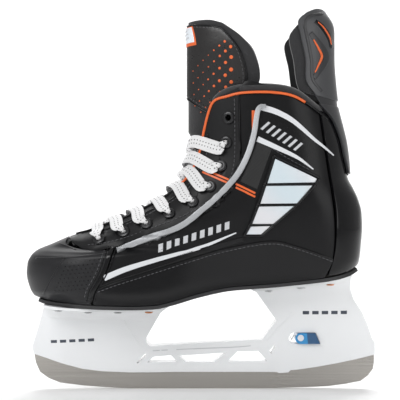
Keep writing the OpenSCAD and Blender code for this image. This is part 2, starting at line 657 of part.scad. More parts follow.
guard_half = 32;
guard_round = 38;
function guard_z(z) = lerp(pz(247), guard_height + sole_height, (z - 247) / (326 - 247));
function guard_rows(rows) = [for (row = rows) [for (p = row) [px(p[0]), guard_z(p[1])]]];
guard_back = [for (r = [[247, 119.5], [262, 118], [280, 116.6], [298, 116.4], [312, 115.8], [326, 111]])
    [guard_z(r[0]), px(r[1])]];
plate_net = guard_rows([
    [[119.5, 248.5], [114, 248.5], [106, 249.5], [98, 251]],
    [[118, 262], [112, 262], [101, 262.5], [89.4, 263]],
    [[116.6, 280], [110, 280], [99, 280.5], [88.8, 281]],
    [[116.4, 298], [109, 299], [97, 300], [84.8, 300.5]],
    [[115.6, 313], [108, 314], [96, 314.5], [82.6, 313.5]],
    [[109, 324], [104, 325.5], [98, 325], [90, 321.5]]]);
felt_net = guard_rows([
    [[119.5, 250], [112, 250], [98, 252], [84, 254.5]],
    [[118, 262], [110, 262], [96, 263], [81, 264]],
    [[116.6, 280], [107, 280], [93, 280], [78.8, 280]],
    [[116.4, 296], [107, 297], [90, 298], [75, 299]],
    [[115.6, 310], [107, 311], [93, 311], [80, 308]],
    [[112, 319], [105, 320], [97, 319], [88, 316]]]);
function guard_skin(net, u, v) =
    let(s = min(abs(u), 1), p = net_point(net, s ^ 1.5, v), depth = net_point(net, 0, v)[0] - p[0])
    [p[0], -sign(u) * guard_half * kw * round_off(depth / guard_round, 2), p[1]];

module tendon_guard() {
    color("#4d5055") formed(function(u, v) guard_skin(plate_net, u, v), -guard_t, 0, 20, 12);
}

module guard_felt() {
    color("#141415") formed(function(u, v) guard_skin(felt_net, u, v), -guard_t - layer_gap - guard_felt_t,
        -guard_t - layer_gap, 16, 10);
}

// Raised chevron insert on each face of the plate
chevron_net = guard_rows([
    [[94, 268], [97.5, 263]],
    [[98.5, 276], [102, 276]],
    [[104, 285], [108, 285]],
    [[98, 296], [102, 296]],
    [[91, 306], [94.5, 310]]]);
module guard_insert() {
    color("#d9531e") for (side = [-1, 1])
        formed(function(u, v)
            let(p = net_point(chevron_net, side > 0 ? u : 1 - u, v),
                depth = (curve(guard_back, p[1]) - p[0]) / guard_round)
            [p[0], side * guard_half * kw * round_off(depth, 2), p[1]],
            0.4, 1.1, 2, 12, 0.02, 0.98);
}

// Holder: side outline cut from a body whose half width follows the flange and the towers
function hx(x) = x * kr;
function hz(z) = z <= 40 ? z : lerp(40, sole_height, (z - 40) / (nominal_sole - 40));
function hpoints(points) = [for (p = points) [hx(p[0]), hz(p[1])]];
tower_gap = layer_gap;
function sole_at(x) = curve(sole_line, x);
function foot_line(xs) = [for (x = xs) [hx(x), sole_at(hx(x)) - tower_gap]];

runner_top_line = hpoints([[-133, 26.5], [-117.5, 23], [-100.5, 19], [-84, 17], [-61, 16], [59, 16], [84, 18],
    [101, 20.5], [118, 23.5], [136, 27]]);
holder_outline = concat(
    hpoints([[-143.5, 32.5], [-143, 30.5], [-130, 26.5], [-117.5, 22.5], [-100.5, 18], [-84, 16], [-61, 15],
        [59, 15], [66, 15], [68, 14], [76, 14.6], [78, 16.6], [84, 17], [101, 19.5], [118, 22.5], [134.5, 26],
        [150.5, 30], [150.5, 40], [148, 44], [144, 56], [139, 67], [132, 77.5], [128.6, 87.5]]),
    foot_line([128.5, 118, 105, 92, 80, 70, 60, 50, 42]),
    hpoints([[48, 84.5], [65.5, 59.5], [53.5, 43], [-7.5, 39.5], [-42.5, 37.5], [-45.5, 40], [-46.5, 44],
        [-33.5, 67]]),
    foot_line([-24, -32, -50, -70, -90, -110, -132]),
    hpoints([[-136, 64], [-144.5, 36.5]]));
windows = [
    hpoints([[-54.5, 23], [-53.5, 22.6], [-45.8, 30], [-47.2, 31.2]]),
    hpoints([[-45.5, 23.5], [-19.5, 23.5], [-25, 29.5], [-40, 28.3]]),
    hpoints([[-18.5, 29], [-12, 23.5], [11.5, 23.5], [23, 31.5]]),
    hpoints([[23.5, 24], [58, 24.2], [50, 33], [32, 32.5]]),
    hpoints([[59.5, 33], [61.5, 30.5], [65, 36.5], [63.8, 38.2]])
];
flange_step = 0.5;
width_share = [[0, 1], [flange_t, 0.98], [flange_t + flange_step, 0.7], [flange_t + 5, 0.5], [22, 0.36],
    [40, 0.27], [80, 0.2]];
flange_half = [for (p = [[-137, 0.5], [-130, 0.8], [-118, 0.98], [-95, 1], [-60, 0.97], [-40, 0.9],
    [-24, 0.7]]) [hx(p[0]), p[1] * front_flange_w / 2]];
rear_half = [for (p = [[38, 0.66], [50, 0.88], [75, 1], [100, 1], [118, 0.9], [131, 0.66]])
    [hx(p[0]), p[1] * rear_flange_w / 2]];
function holder_half(x, z) =
    let(h = sole_at(x) - z, wide = x < 0 ? curve(flange_half, x) : curve(rear_half, x))
    max(holder_w / 2 + clamp((z - 22) / 40) * 1.5, wide * curve(width_share, h));

module holder_body(x0, x1, nx, nz) {
    function level(x, j) = let(top = sole_at(x))
        j == nz ? top : j == nz - 1 ? top - flange_t : j == nz - 2 ? top - flange_t - flange_step
        : lerp(10, top - flange_t - flange_step, j / (nz - 2));
    function grid(side) = [for (j = [0:nz]) for (i = [0:nx])
        let(x = lerp(x0, x1, i / nx), z = level(x, j)) [x, side * holder_half(x, z), z]];
    slab(grid(lateral), grid(medial), nx, nz);
}

slot_depth = 8;
tang_x = hpoints([[112, 0]])[0][0];
tang_top = 45;
tang_l = 14;
slider_x0 = hpoints([[81.7, 0]])[0][0];
slider_x1 = hpoints([[103, 0]])[0][0];
slider_z0 = 39.5;
slider_z1 = 48.8;
window_clear = 0.3;
slider_slant = 4;
spring_room = 6;
cavity_w = 5;

// Side outline of the slider, or of its window when grown by clear: round in front, slanted behind
module slider_outline(x0, clear) {
    r = (slider_z1 - slider_z0) / 2;
    translate([x0 + r, slider_z0 + r]) circle(r = r + clear, $fn = 48);
    polygon([[x0 + r, slider_z0 - clear], [slider_x1 + 2 * clear, slider_z0 - clear],
        [slider_x1 - slider_slant + 2 * clear, slider_z1 + clear], [x0 + r, slider_z1 + clear]]);
}

module holder() {
    color("#f4f6f7") difference() {
        intersection() {
            union() {
                holder_body(hx(-152), hx(0.5), 22, 9);
                holder_body(hx(0.5), hx(156), 22, 9);
            }
            translate([0, boot_width, 0]) rotate([90, 0, 0]) linear_extrude(2 * boot_width) difference() {
                polygon(holder_outline);
                for (w = windows) polygon(w);
            }
        }
        // slot for the runner
        translate([0, runner_t / 2 + slot_clear, 0]) rotate([90, 0, 0])
            linear_extrude(runner_t + 2 * slot_clear) polygon(concat([for (p = runner_top_line) p + [0, slot_depth - 1]],
                [[hx(152), 34], [hx(152), 0], [hx(-152), 0], [hx(-152), 34.5], [hx(-141), 37.5],
                    [hx(-135), 36.5]]));
        // pocket for the tang and its catch, open to the slot
        translate([slider_x1 - slider_travel - 2, -cavity_w / 2, 20])
            cube([tang_x + tang_l + 4 - slider_x1 + slider_travel, cavity_w, 30]);
        // window for the slider
        translate([0, boot_width / 2, 0]) rotate([90, 0, 0]) linear_extrude(boot_width)
            slider_outline(slider_x0 - slider_travel, window_clear);
        // closed pocket for the slider's spring, ahead of the window
        translate([slider_x0 - slider_travel - spring_room, -cavity_w / 2, slider_z0])
            cube([2 * spring_room, cavity_w, slider_z1 - slider_z0]);
    }
}

module runner() {
    color("#c4c8cb") translate([0, runner_t / 2, 0]) rotate([90, 0, 0]) linear_extrude(runner_t) union() {
        polygon(concat(
            hpoints([[-143.5, 31], [-142, 22.5], [-138.5, 14.5], [-131, 9], [-121, 5], [-100.5, 2.5],
                [-80.5, 1], [-60.5, 0], [50.5, 0], [91, 1], [111, 2], [126, 4], [139, 6.5], [145.5, 11.5],
                [149.5, 17], [150.5, 23], [150.5, 29.8]]),
            [for (p = reversed(runner_top_line)) p + [0, slot_depth - 3]],
            hpoints([[-137, 34.5], [-141, 35], [-143.5, 33.5]])));
        translate([tang_x, 24]) square([tang_l, tang_top - 24]);
        polygon([[tang_x - 2.5, tang_top], [tang_x, tang_top - 4], [tang_x + 2, tang_top - 4],
            [tang_x + 2, tang_top]]);
    }
}

// Release slider: a block through the rear tower with a rounded front end
slider_w = 21;
slider_slot = 4.4;
module release_slider() {
    r = (slider_z1 - slider_z0) / 2;
    color("#1f7fd0") difference() {
        translate([0, slider_w / 2, 0]) rotate([90, 0, 0]) linear_extrude(slider_w)
            slider_outline(slider_x0, 0);
        translate([slider_x1 - 9, -slider_slot / 2, slider_z0 - 1]) cube([20, slider_slot, 12]);
        for (side = [lateral, medial])
            translate([slider_x0 + r, side * slider_w / 2, slider_z0 + r + 0.5]) rotate([90, 0, 0])
                cylinder(d = mark_d + 0.04, h = 2 * mark_t, center = true, $fn = 32);
    }
}

// Round white marks set into both ends of the slider
mark_d = 5.4;
mark_t = 0.6;
module slider_marks() {
    r = (slider_z1 - slider_z0) / 2;
    color("#ffffff") for (side = [lateral, medial])
        translate([slider_x0 + r, side * (slider_w / 2 - mark_t / 2), slider_z0 + r + 0.5]) rotate([90, 0, 0])
            cylinder(d = mark_d, h = mark_t, center = true, $fn = 32);
}

// Zigzag leaf spring that pushes the slider back
module return_spring() {
    x0 = slider_x0 - slider_travel - spring_room + 0.4;
    x1 = slider_x0 - 0.1;
    folds = 5;
    leaf = 0.6;
    zig = [for (i = [0:folds])
        [lerp(x0, x1 - leaf, i / folds), i % 2 == 0 ? slider_z0 + 2.4 : slider_z1 - 2.4]];
    color("#9aa0a6") translate([0, 2, 0]) rotate([90, 0, 0]) linear_extrude(4) union() {
        for (i = [0:folds - 1]) polygon([zig[i], zig[i] + [leaf, 0], zig[i + 1] + [leaf, 0], zig[i + 1]]);
    }
}

// Sprung catch between the slider and the runner's tang
module catch_spring() {
    x0 = slider_x1 - 8.8;
    x1 = tang_x - 2.8;
    color("#b4b9bd") translate([0, 1.4, 0]) rotate([90, 0, 0]) linear_extrude(2.8)
        polygon([[x0, slider_z0 + 2], [x1, slider_z0 + 2], [x1, slider_z0 + 1], [tang_x - 0.3, slider_z0 + 1],
            [tang_x - 0.3, slider_z0 + 0.2], [x1 - 0.8, slider_z0 + 0.2], [x1 - 0.8, slider_z0 + 1.2],
            [x0, slider_z0 + 1.2]]);
}

// Rivets that hold the flanges to the outsole
rivet_head_h = 1.2;
front_rivets = [for (x = [-119, -94, -69]) hx(x)];
rear_rivets = [for (x = [58, 85.5]) hx(x)];
copper_rivets = [hx(-43), hx(110)];
rivet_inset = 5.4;

module rivets(xs) {
    for (x = xs) for (side = [lateral, medial]) {
        y = side * (holder_half(x, sole_at(x)) - rivet_inset);
        translate([x, y, sole_at(x) - flange_t - flange_step - tower_gap]) mirror([0, 0, 1]) rivet();
    }
}

module rivet() {
    rotate_extrude($fn = 32) polygon([[0, 0], [rivet_head_d / 2, 0],
        [rivet_head_d / 2 - 0.4, rivet_head_h * 0.7], [rivet_head_d / 2 - 1.6, rivet_head_h], [0, rivet_head_h]]);
}

module rivets_steel() {
    color("#c9cdd0") rivets(concat(front_rivets, rear_rivets));
}

module rivets_copper() {
    color("#b8682c") rivets(copper_rivets);
}

outsole();
insole_board();
footbed();
toe_cap();
toe_lining();
quarter_lateral();
quarter_medial();
facing_lateral();
facing_medial();
lining_lateral();
lining_medial();
ankle_pad_lateral();
ankle_pad_medial();
heel_counter();
heel_lining();
side_wrap_lateral();
side_wrap_medial();
side_panel_lateral();
side_panel_medial();
eyelets_lateral();
eyelets_medial();
lace();
lace_end_lateral();
lace_end_medial();
lace_tips();
tongue_base();
tongue_flap();
tongue_face();
tongue_badge();
guard_base();
tendon_guard();
guard_felt();
guard_insert();
holder();
runner();
release_slider();
slider_marks();
return_spring();
catch_spring();
rivets_steel();
rivets_copper();
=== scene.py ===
import math
import bmesh
import bpy
import numpy as np
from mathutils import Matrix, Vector


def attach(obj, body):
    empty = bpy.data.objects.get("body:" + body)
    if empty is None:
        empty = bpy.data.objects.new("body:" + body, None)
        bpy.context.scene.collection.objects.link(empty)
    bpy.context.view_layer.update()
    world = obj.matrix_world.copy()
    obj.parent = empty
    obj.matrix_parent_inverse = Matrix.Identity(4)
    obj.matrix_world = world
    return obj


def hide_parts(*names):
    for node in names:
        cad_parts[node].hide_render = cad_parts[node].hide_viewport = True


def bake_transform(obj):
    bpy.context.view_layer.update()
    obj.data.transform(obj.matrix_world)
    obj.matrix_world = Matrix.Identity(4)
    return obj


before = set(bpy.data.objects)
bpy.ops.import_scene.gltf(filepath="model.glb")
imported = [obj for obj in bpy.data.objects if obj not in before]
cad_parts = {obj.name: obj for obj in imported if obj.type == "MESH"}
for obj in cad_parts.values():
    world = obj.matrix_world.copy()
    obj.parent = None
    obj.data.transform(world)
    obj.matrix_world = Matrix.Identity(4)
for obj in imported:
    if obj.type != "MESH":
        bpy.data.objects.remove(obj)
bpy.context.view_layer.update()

mm = 0.001
lateral, medial = -1, 1
sides = (("Lateral", lateral), ("Medial", medial))


# Camera: the object seen exactly from its outer side, toe on the left
cameraLook = {"lens": 100.0, "sensor": 36.0, "distance": 0.963, "height": 0.163, "near": 0.05, "far": 50.0}


def makeCamera():
    data = bpy.data.cameras.new("sideCamera")
    data.lens = cameraLook["lens"]
    data.sensor_width = cameraLook["sensor"]
    data.clip_start = cameraLook["near"]
    data.clip_end = cameraLook["far"]
    camera = bpy.data.objects.new("sideCamera", data)
    bpy.context.scene.collection.objects.link(camera)
    camera.location = (0.0, -cameraLook["distance"], cameraLook["height"])
    camera.rotation_euler = (math.radians(90), 0, 0)
    bpy.context.scene.camera = camera


makeCamera()
print("camera placed")


# Smooth lines and nets of side-view points, in millimetres
def clampUnit(t):
    return np.clip(t, 0.0, 1.0)


def smoothStep(t):
    s = clampUnit(t)
    return s * s * (3 - 2 * s)


def mix(a, b, t):
    return a + (b - a) * t


def unitOf(v):
    v = np.asarray(v, float)
    return v / np.maximum(np.linalg.norm(v, axis=-1, keepdims=True), 1e-9)


def curveOf(rows):
    keys, values = np.array(rows, float).T
    rise = np.diff(values) / np.diff(keys)
    slopes = np.concatenate([rise[:1], np.zeros(len(keys) - 2), rise[-1:]])
    for i in range(1, len(keys) - 1):
        if rise[i - 1] * rise[i] > 0:
            slopes[i] = 2 / (1 / rise[i - 1] + 1 / rise[i])

    def at(k):
        i = np.clip(np.searchsorted(keys, k, side="right") - 1, 0, len(keys) - 2)
        h = keys[i + 1] - keys[i]
        t = clampUnit((k - keys[i]) / h)
        return ((2 * t**3 - 3 * t**2 + 1) * values[i] + (t**3 - 2 * t**2 + t) * h * slopes[i]
                + (3 * t**2 - 2 * t**3) * values[i + 1] + (t**3 - t**2) * h * slopes[i + 1])
    return at


def padEnds(p):
    return np.concatenate([2 * p[:1] - p[1:2], p, 2 * p[-1:] - p[-2:-1]])


def splineMix(a, b, c, d, f):
    return b + f / 2 * (c - a + f * (2 * a - 5 * b + 4 * c - d + f * (3 * (b - c) + d - a)))


def alongLine(points, t):
    p = padEnds(np.array(points, float))
    s = clampUnit(np.asarray(t, float)) * (len(p) - 3)
    i = np.minimum(s.astype(int), len(p) - 4)
    return splineMix(p[i], p[i + 1], p[i + 2], p[i + 3], (s - i)[..., None])


def netPoint(net, u, v):
    u, v = np.broadcast_arrays(np.asarray(u, float), np.asarray(v, float))
    rows = padEnds(np.array([alongLine(row, u.ravel()) for row in net]))
    s = clampUnit(v.ravel()) * (len(net) - 1)
    j = np.minimum(s.astype(int), len(net) - 2)
    k = np.arange(len(s))
    found = splineMix(rows[j, k], rows[j + 1, k], rows[j + 2, k], rows[j + 3, k], (s - j)[:, None])
    return found.reshape(u.shape + (2,))


def runLength(points, axis=0):
    steps = np.linalg.norm(np.diff(points, axis=axis), axis=-1)
    return np.insert(np.cumsum(steps, axis=axis), 0, 0.0, axis=axis)


def evenSteps(points, step):
    fine = alongLine(points, np.linspace(0, 1, 40 * len(points)))
    length = runLength(fine)
    count = max(2, int(round(length[-1] / step)) + 1)
    where = np.linspace(0, length[-1], count)
    return np.stack([np.interp(where, length, fine[:, k]) for k in range(fine.shape[1])], 1), where


# A ribbon along rows of [x, z, width] in side view: the points of its line, its places and its UV map
def ribbonPlaces(rows, step, across):
    found, where = evenSteps(rows, step)
    tangent = unitOf(np.gradient(found[:, :2], axis=0))
    aside = np.stack([-tangent[:, 1], tangent[:, 0]], 1)
    share = np.linspace(-0.5, 0.5, across + 1)[:, None, None]
    places = found[None, :, :2] + share * found[None, :, 2:3] * aside[None]
    uv = np.stack(np.broadcast_arrays(where[None, :], share[..., 0] * found[None, :, 2]), 2)
    return found, places, uv


# Points and normals on a side that spot(x, z) forms, measured over a small reach
def onForm(spot, places, side, depth, reach):
    places = np.asarray(places, float)
    x, z = places[..., 0], places[..., 1]
    along = spot(x + reach, z) - spot(x - reach, z)
    up = spot(x, z + reach) - spot(x, z - reach)
    normal = side * unitOf(np.cross(up, along))
    return spot(x, z) + np.asarray(depth)[..., None] * normal, normal


# The boot's outer skin, worked out from the same outlines as the CAD model
frontLine = curveOf([[64, -126], [74.5, -137.5], [85.5, -147], [100.5, -150.3], [109, -149.5],
    [115.5, -146.5], [120, -141], [125, -129], [132, -113], [139, -95.5], [145, -82], [151.5, -68],
    [160, -48.5], [165, -38.5], [171, -29.5], [179.5, -22], [187.5, -17], [196, -13.5], [206, -11.5],
    [217, -11], [320, -11]])
backLine = curveOf([[95, 129], [104.5, 135.5], [112, 138], [125.5, 139.5], [139, 140.5], [152.5, 140],
    [165, 137], [174.5, 132], [183.5, 127.5], [196, 126.5], [211.5, 124.5], [226.5, 121], [240, 117.5],
    [255, 114.5], [320, 113]])
frontDepth = curveOf([[75, 62], [110, 62], [135, 46], [160, 38], [175, 52], [190, 66], [205, 75], [320, 75]])
backDepth = curveOf([[75, 36], [120, 38], [165, 44], [200, 46], [320, 42]])
soleLine = curveOf([[-139, 77], [-130, 74.5], [-109, 73], [-84, 72], [-54.5, 72], [-37.5, 72.5], [-25, 75],
    [0, 82], [25, 87], [42, 88.3], [59, 89.5], [84, 92], [109.5, 95], [126, 98.5], [136, 103]])
lowWidth = curveOf([[-150, 40], [-130, 44], [-100, 48], [-66, 49], [-30, 44], [0, 38.5], [40, 35.5], [90, 35],
    [140, 34]])
midWidth = curveOf([[-90, 47], [-50, 43], [0, 41], [50, 39.5], [85, 39.5], [140, 35]])
cuffWidth = curveOf([[-10, 40], [50, 41], [90, 39], [120, 35]])
centreLine = curveOf([[-150, 4.5], [-100, 2], [-60, -1.1], [0, -2.6], [60, -1], [140, 0]])


def roundOff(t, power):
    return (1 - (1 - clampUnit(t)) ** power) ** (1 / power)


def bootSide(x, z):
    lower = mix(lowWidth(x), midWidth(x), smoothStep((z - 85) / 80))
    upper = mix(midWidth(x), cuffWidth(x), smoothStep((z - 165) / 90))
    return np.where(z < 165, lower, upper)


def halfWidth(x, z):
    slope = (frontLine(z + 1) - frontLine(z - 1)) / 2
    fromFront = (x - frontLine(z)) / np.sqrt(1 + slope * slope) / frontDepth(z)
    fromBack = (backLine(z) - x) / backDepth(z)
    power = np.where(z < 132, 2.3, 2.0)
    return (bootSide(x, z) * roundOff(fromFront, power) * roundOff(fromBack, 2)
            * (0.85 + 0.15 * roundOff((z - soleLine(x)) / 12, 2)))


def wrapOf(x, z):
    share = 1 - 2 * (x - frontLine(z)) / (backLine(z) - frontLine(z))
    return np.arccos(np.clip(share, -1, 1)) / math.pi


def skin(a, side, z):
    x = mix(frontLine(z), backLine(z), (1 - np.cos(math.pi * clampUnit(a))) / 2)
    return np.stack(np.broadcast_arrays(x, centreLine(x) + side * halfWidth(x, z), z), -1)


def skinNormal(a, side, z):
    forward = skin(np.minimum(a + 0.004, 1), side, z) - skin(np.maximum(a - 0.004, 0), side, z)
    up = skin(a, side, z + 0.6) - skin(a, side, z - 0.6)
    return unitOf(np.asarray(side)[..., None] * np.cross(up, forward))


def onSkin(places, side, depth):
    x, z = np.asarray(places, float)[..., 0], np.asarray(places, float)[..., 1]
    a = wrapOf(x, z)
    normal = skinNormal(a, side, z)
    return skin(a, side, z) + np.asarray(depth)[..., None] * normal, normal


# Materials: each has its own grain on object coordinates, or follows the piece's UV map
def newMaterial(name):
    material = bpy.data.materials.new(name)
    material.use_nodes = True
    nodes = material.node_tree.nodes
    return material, nodes, material.node_tree.links, nodes["Principled BSDF"]


def coordinates(nodes, links, scale, fromUv=False):
    source = nodes.new("ShaderNodeTexCoord")
    mapping = nodes.new("ShaderNodeMapping")
    mapping.inputs["Scale"].default_value = scale if hasattr(scale, "__len__") else (scale,) * 3
    links.new(source.outputs["UV" if fromUv else "Object"], mapping.inputs["Vector"])
    return mapping.outputs["Vector"]


def mathNode(nodes, links, operation, a, b=None, c=None):
    node = nodes.new("ShaderNodeMath")
    node.operation = operation
    for place, value in enumerate((a, b, c)):
        if value is None:
            continue
        if isinstance(value, (int, float)):
            node.inputs[place].default_value = value
        else:
            links.new(value, node.inputs[place])
    return node.outputs[0]


def colourMix(nodes, links, share, first, second):
    node = nodes.new("ShaderNodeMix")
    node.data_type = "RGBA"
    links.new(share, node.inputs[0])
    for socket, value in ((node.inputs[6], first), (node.inputs[7], second)):
        if hasattr(value, "is_linked"):
            links.new(value, socket)
        else:
            socket.default_value = (*value, 1.0)
    return node.outputs[2]


# One field times its share, plus another times the rest
def weighted(nodes, links, first, share, second, rest):
    other = mathNode(nodes, links, "MULTIPLY", second, rest)
    return mathNode(nodes, links, "MULTIPLY_ADD", first, share, other)


def noiseField(nodes, links, vector, scale, detail):
    node = nodes.new("ShaderNodeTexNoise")
    node.inputs["Scale"].default_value = scale
    node.inputs["Detail"].default_value = detail
    links.new(vector, node.inputs["Vector"])
    return node.outputs[0]


waveSpan = 0.314  # width of one wave at a scale of 1


def waveField(nodes, links, vector, scale, axis, distortion=0.0):
    node = nodes.new("ShaderNodeTexWave")
    node.bands_direction = axis
    node.inputs["Scale"].default_value = scale
    node.inputs["Distortion"].default_value = distortion
    links.new(vector, node.inputs["Vector"])
    return node.outputs["Fac"]


def addBump(nodes, links, shader, height, strength, distance):
    node = nodes.new("ShaderNodeBump")
    node.inputs["Strength"].default_value = strength
    node.inputs["Distance"].default_value = distance * mm
    links.new(height, node.inputs["Height"])
    links.new(node.outputs["Normal"], shader.inputs["Normal"])


def varyRoughness(nodes, links, shader, share, low, high):
    node = nodes.new("ShaderNodeMapRange")
    node.inputs["To Min"].default_value = low
    node.inputs["To Max"].default_value = high
    links.new(share, node.inputs["Value"])
    links.new(node.outputs[0], shader.inputs["Roughness"])


# Moulded or coated plastic with a fine pebble, slight colour drift and scuffed roughness
def plastic(name, base, shade, rough, grain=900, depth=0.08, strength=0.35, coat=0.0, metallic=0.0,
            shine=0.5):
    material, nodes, links, shader = newMaterial(name)
    vector = coordinates(nodes, links, 1.0)
    drift = noiseField(nodes, links, vector, 18, 4)
    fine = noiseField(nodes, links, vector, grain, 2)
    links.new(colourMix(nodes, links, drift, base, shade), shader.inputs["Base Color"])
    varyRoughness(nodes, links, shader, weighted(nodes, links, fine, 0.35, drift, 0.65), *rough)
    addBump(nodes, links, shader, fine, strength, depth)
    shader.inputs["Coat Weight"].default_value = coat
    shader.inputs["Coat Roughness"].default_value = 0.08
    shader.inputs["Metallic"].default_value = metallic
    shader.inputs["Specular IOR Level"].default_value = shine
    return material


# Woven cloth: crossing threads with fuzz, in millimetres of the UV map or of the object
def cloth(name, base, shade, thread, depth, fromUv=True):
    material, nodes, links, shader = newMaterial(name)
    vector = coordinates(nodes, links, 1.0 if fromUv else 1000.0, fromUv)
    warp = waveField(nodes, links, vector, waveSpan / thread * 2, "X", 0.6)
    weft = waveField(nodes, links, vector, waveSpan / thread * 2, "Y", 0.6)
    weave = mathNode(nodes, links, "MULTIPLY", warp, weft)
    fuzz = noiseField(nodes, links, vector, 1.6, 3)
    both = mathNode(nodes, links, "MULTIPLY_ADD", fuzz, 0.6, weave)
    links.new(colourMix(nodes, links, both, shade, base), shader.inputs["Base Color"])
    shader.inputs["Roughness"].default_value = 0.85
    shader.inputs["Sheen Weight"].default_value = 0.25
    shader.inputs["Sheen Roughness"].default_value = 0.5
    addBump(nodes, links, shader, both, 0.6, depth)
    return material


# Pressed wool felt: clumped fibres
def felt(name, base, shade):
    material, nodes, links, shader = newMaterial(name)
    vector = coordinates(nodes, links, 1.0)
    clumps = noiseField(nodes, links, vector, 260, 6)
    fibres = noiseField(nodes, links, coordinates(nodes, links, (1.0, 1.0, 0.35)), 1500, 3)
    both = weighted(nodes, links, fibres, 0.5, clumps, 0.5)
    links.new(colourMix(nodes, links, both, shade, base), shader.inputs["Base Color"])
    shader.inputs["Roughness"].default_value = 0.95
    shader.inputs["Sheen Weight"].default_value = 0.35
    shader.inputs["Sheen Roughness"].default_value = 0.6
    addBump(nodes, links, shader, both, 0.7, 0.5)
    return material


# Ground steel: fine lines along X over a faint cross grind
def steel(name, base, shade, lines=(6, 900, 900), rough=(0.16, 0.34)):
    material, nodes, links, shader = newMaterial(name)
    streaks = noiseField(nodes, links, coordinates(nodes, links, lines), 1.0, 4)
    patches = noiseField(nodes, links, coordinates(nodes, links, 1.0), 22, 3)
    links.new(colourMix(nodes, links, streaks, shade, base), shader.inputs["Base Color"])
    varyRoughness(nodes, links, shader, weighted(nodes, links, streaks, 0.6, patches, 0.4), *rough)
    shader.inputs["Metallic"].default_value = 1.0
    addBump(nodes, links, shader, streaks, 0.12, 0.03)
    return material


# Flat woven lace: herringbone on the UV map and two rows of small dark tracer dots
laceWeave = {"ribs": 6.2, "threads": 7.5, "dotPitch": 3.0, "dotSize": 0.5, "dotRow": 1.5}


def laceCloth(name, base, shade, dotColour):
    material, nodes, links, shader = newMaterial(name)
    vector = coordinates(nodes, links, 1.0, True)
    split = nodes.new("ShaderNodeSeparateXYZ")
    links.new(vector, split.inputs[0])
    length, across = split.outputs[0], split.outputs[1]
    fold = mathNode(nodes, links, "ABSOLUTE", across)
    ramp = mathNode(nodes, links, "ADD", length, fold)
    rib = mathNode(nodes, links, "SINE", mathNode(nodes, links, "MULTIPLY", ramp, laceWeave["ribs"]))
    cross = mathNode(nodes, links, "SINE", mathNode(nodes, links, "MULTIPLY", fold, laceWeave["threads"]))
    raised = mathNode(nodes, links, "ADD", weighted(nodes, links, rib, 0.35, cross, 0.25), 0.5)
    plain = colourMix(nodes, links, raised, shade, base)
    step = mathNode(nodes, links, "PINGPONG", length, laceWeave["dotPitch"] / 2)
    row = mathNode(nodes, links, "ABSOLUTE", mathNode(nodes, links, "SUBTRACT", fold, laceWeave["dotRow"]))
    stepSquare = mathNode(nodes, links, "POWER", step, 2.0)
    rowSquare = mathNode(nodes, links, "POWER", row, 2.0)
    far = mathNode(nodes, links, "SQRT", mathNode(nodes, links, "ADD", stepSquare, rowSquare))
    dot = mathNode(nodes, links, "LESS_THAN", far, laceWeave["dotSize"])
    links.new(colourMix(nodes, links, dot, plain, dotColour), shader.inputs["Base Color"])
    shader.inputs["Roughness"].default_value = 0.8
    shader.inputs["Sheen Weight"].default_value = 0.3
    addBump(nodes, links, shader, raised, 0.7, 0.22)
    return material


# Fine slanted lines pressed into a foil, on the UV map in millimetres
def hatched(name, base, shade, pitch, metallic=0.6, rough=0.3):
    material, nodes, links, shader = newMaterial(name)
    vector = coordinates(nodes, links, 1.0, True)
    lines = waveField(nodes, links, vector, waveSpan / pitch * 2, "DIAGONAL")
    links.new(colourMix(nodes, links, lines, shade, base), shader.inputs["Base Color"])
    shader.inputs["Metallic"].default_value = metallic
    varyRoughness(nodes, links, shader, lines, rough + 0.15, rough)
    addBump(nodes, links, shader, lines, 0.5, 0.12)
    return material


# Pearl film: pale grey that drifts to blue, with bands of pink, under a clear coat
def pearlFilm(name, first, second, third):
    material, nodes, links, shader = newMaterial(name)
    vector = coordinates(nodes, links, 1.0)
    drift = noiseField(nodes, links, vector, 14, 2)
    bands = waveField(nodes, links, vector, 6.0, "DIAGONAL", 2.0)
    pale = colourMix(nodes, links, drift, first, second)
    links.new(colourMix(nodes, links, mathNode(nodes, links, "MULTIPLY", bands, 0.45), pale, third),
              shader.inputs["Base Color"])
    speck = noiseField(nodes, links, vector, 1600, 2)
    varyRoughness(nodes, links, shader, speck, 0.16, 0.3)
    shader.inputs["Coat Weight"].default_value = 0.6
    addBump(nodes, links, shader, speck, 0.15, 0.04)
    return material


# Blue slider: a lighter front and a darker rear, split by a slanted edge
def sliderPlastic(name, light, dark, splitX, lean):
    material, nodes, links, shader = newMaterial(name)
    source = nodes.new("ShaderNodeTexCoord")
    split = nodes.new("ShaderNodeSeparateXYZ")
    links.new(source.outputs["Object"], split.inputs[0])
    edge = mathNode(nodes, links, "MULTIPLY_ADD", split.outputs[2], lean, split.outputs[0])
    rear = mathNode(nodes, links, "GREATER_THAN", edge, splitX)
    fine = noiseField(nodes, links, source.outputs["Object"], 1400, 2)
    links.new(colourMix(nodes, links, rear, light, dark), shader.inputs["Base Color"])
    varyRoughness(nodes, links, shader, fine, 0.18, 0.32)
    addBump(nodes, links, shader, fine, 0.2, 0.04)
    shader.inputs["Coat Weight"].default_value = 0.4
    return material


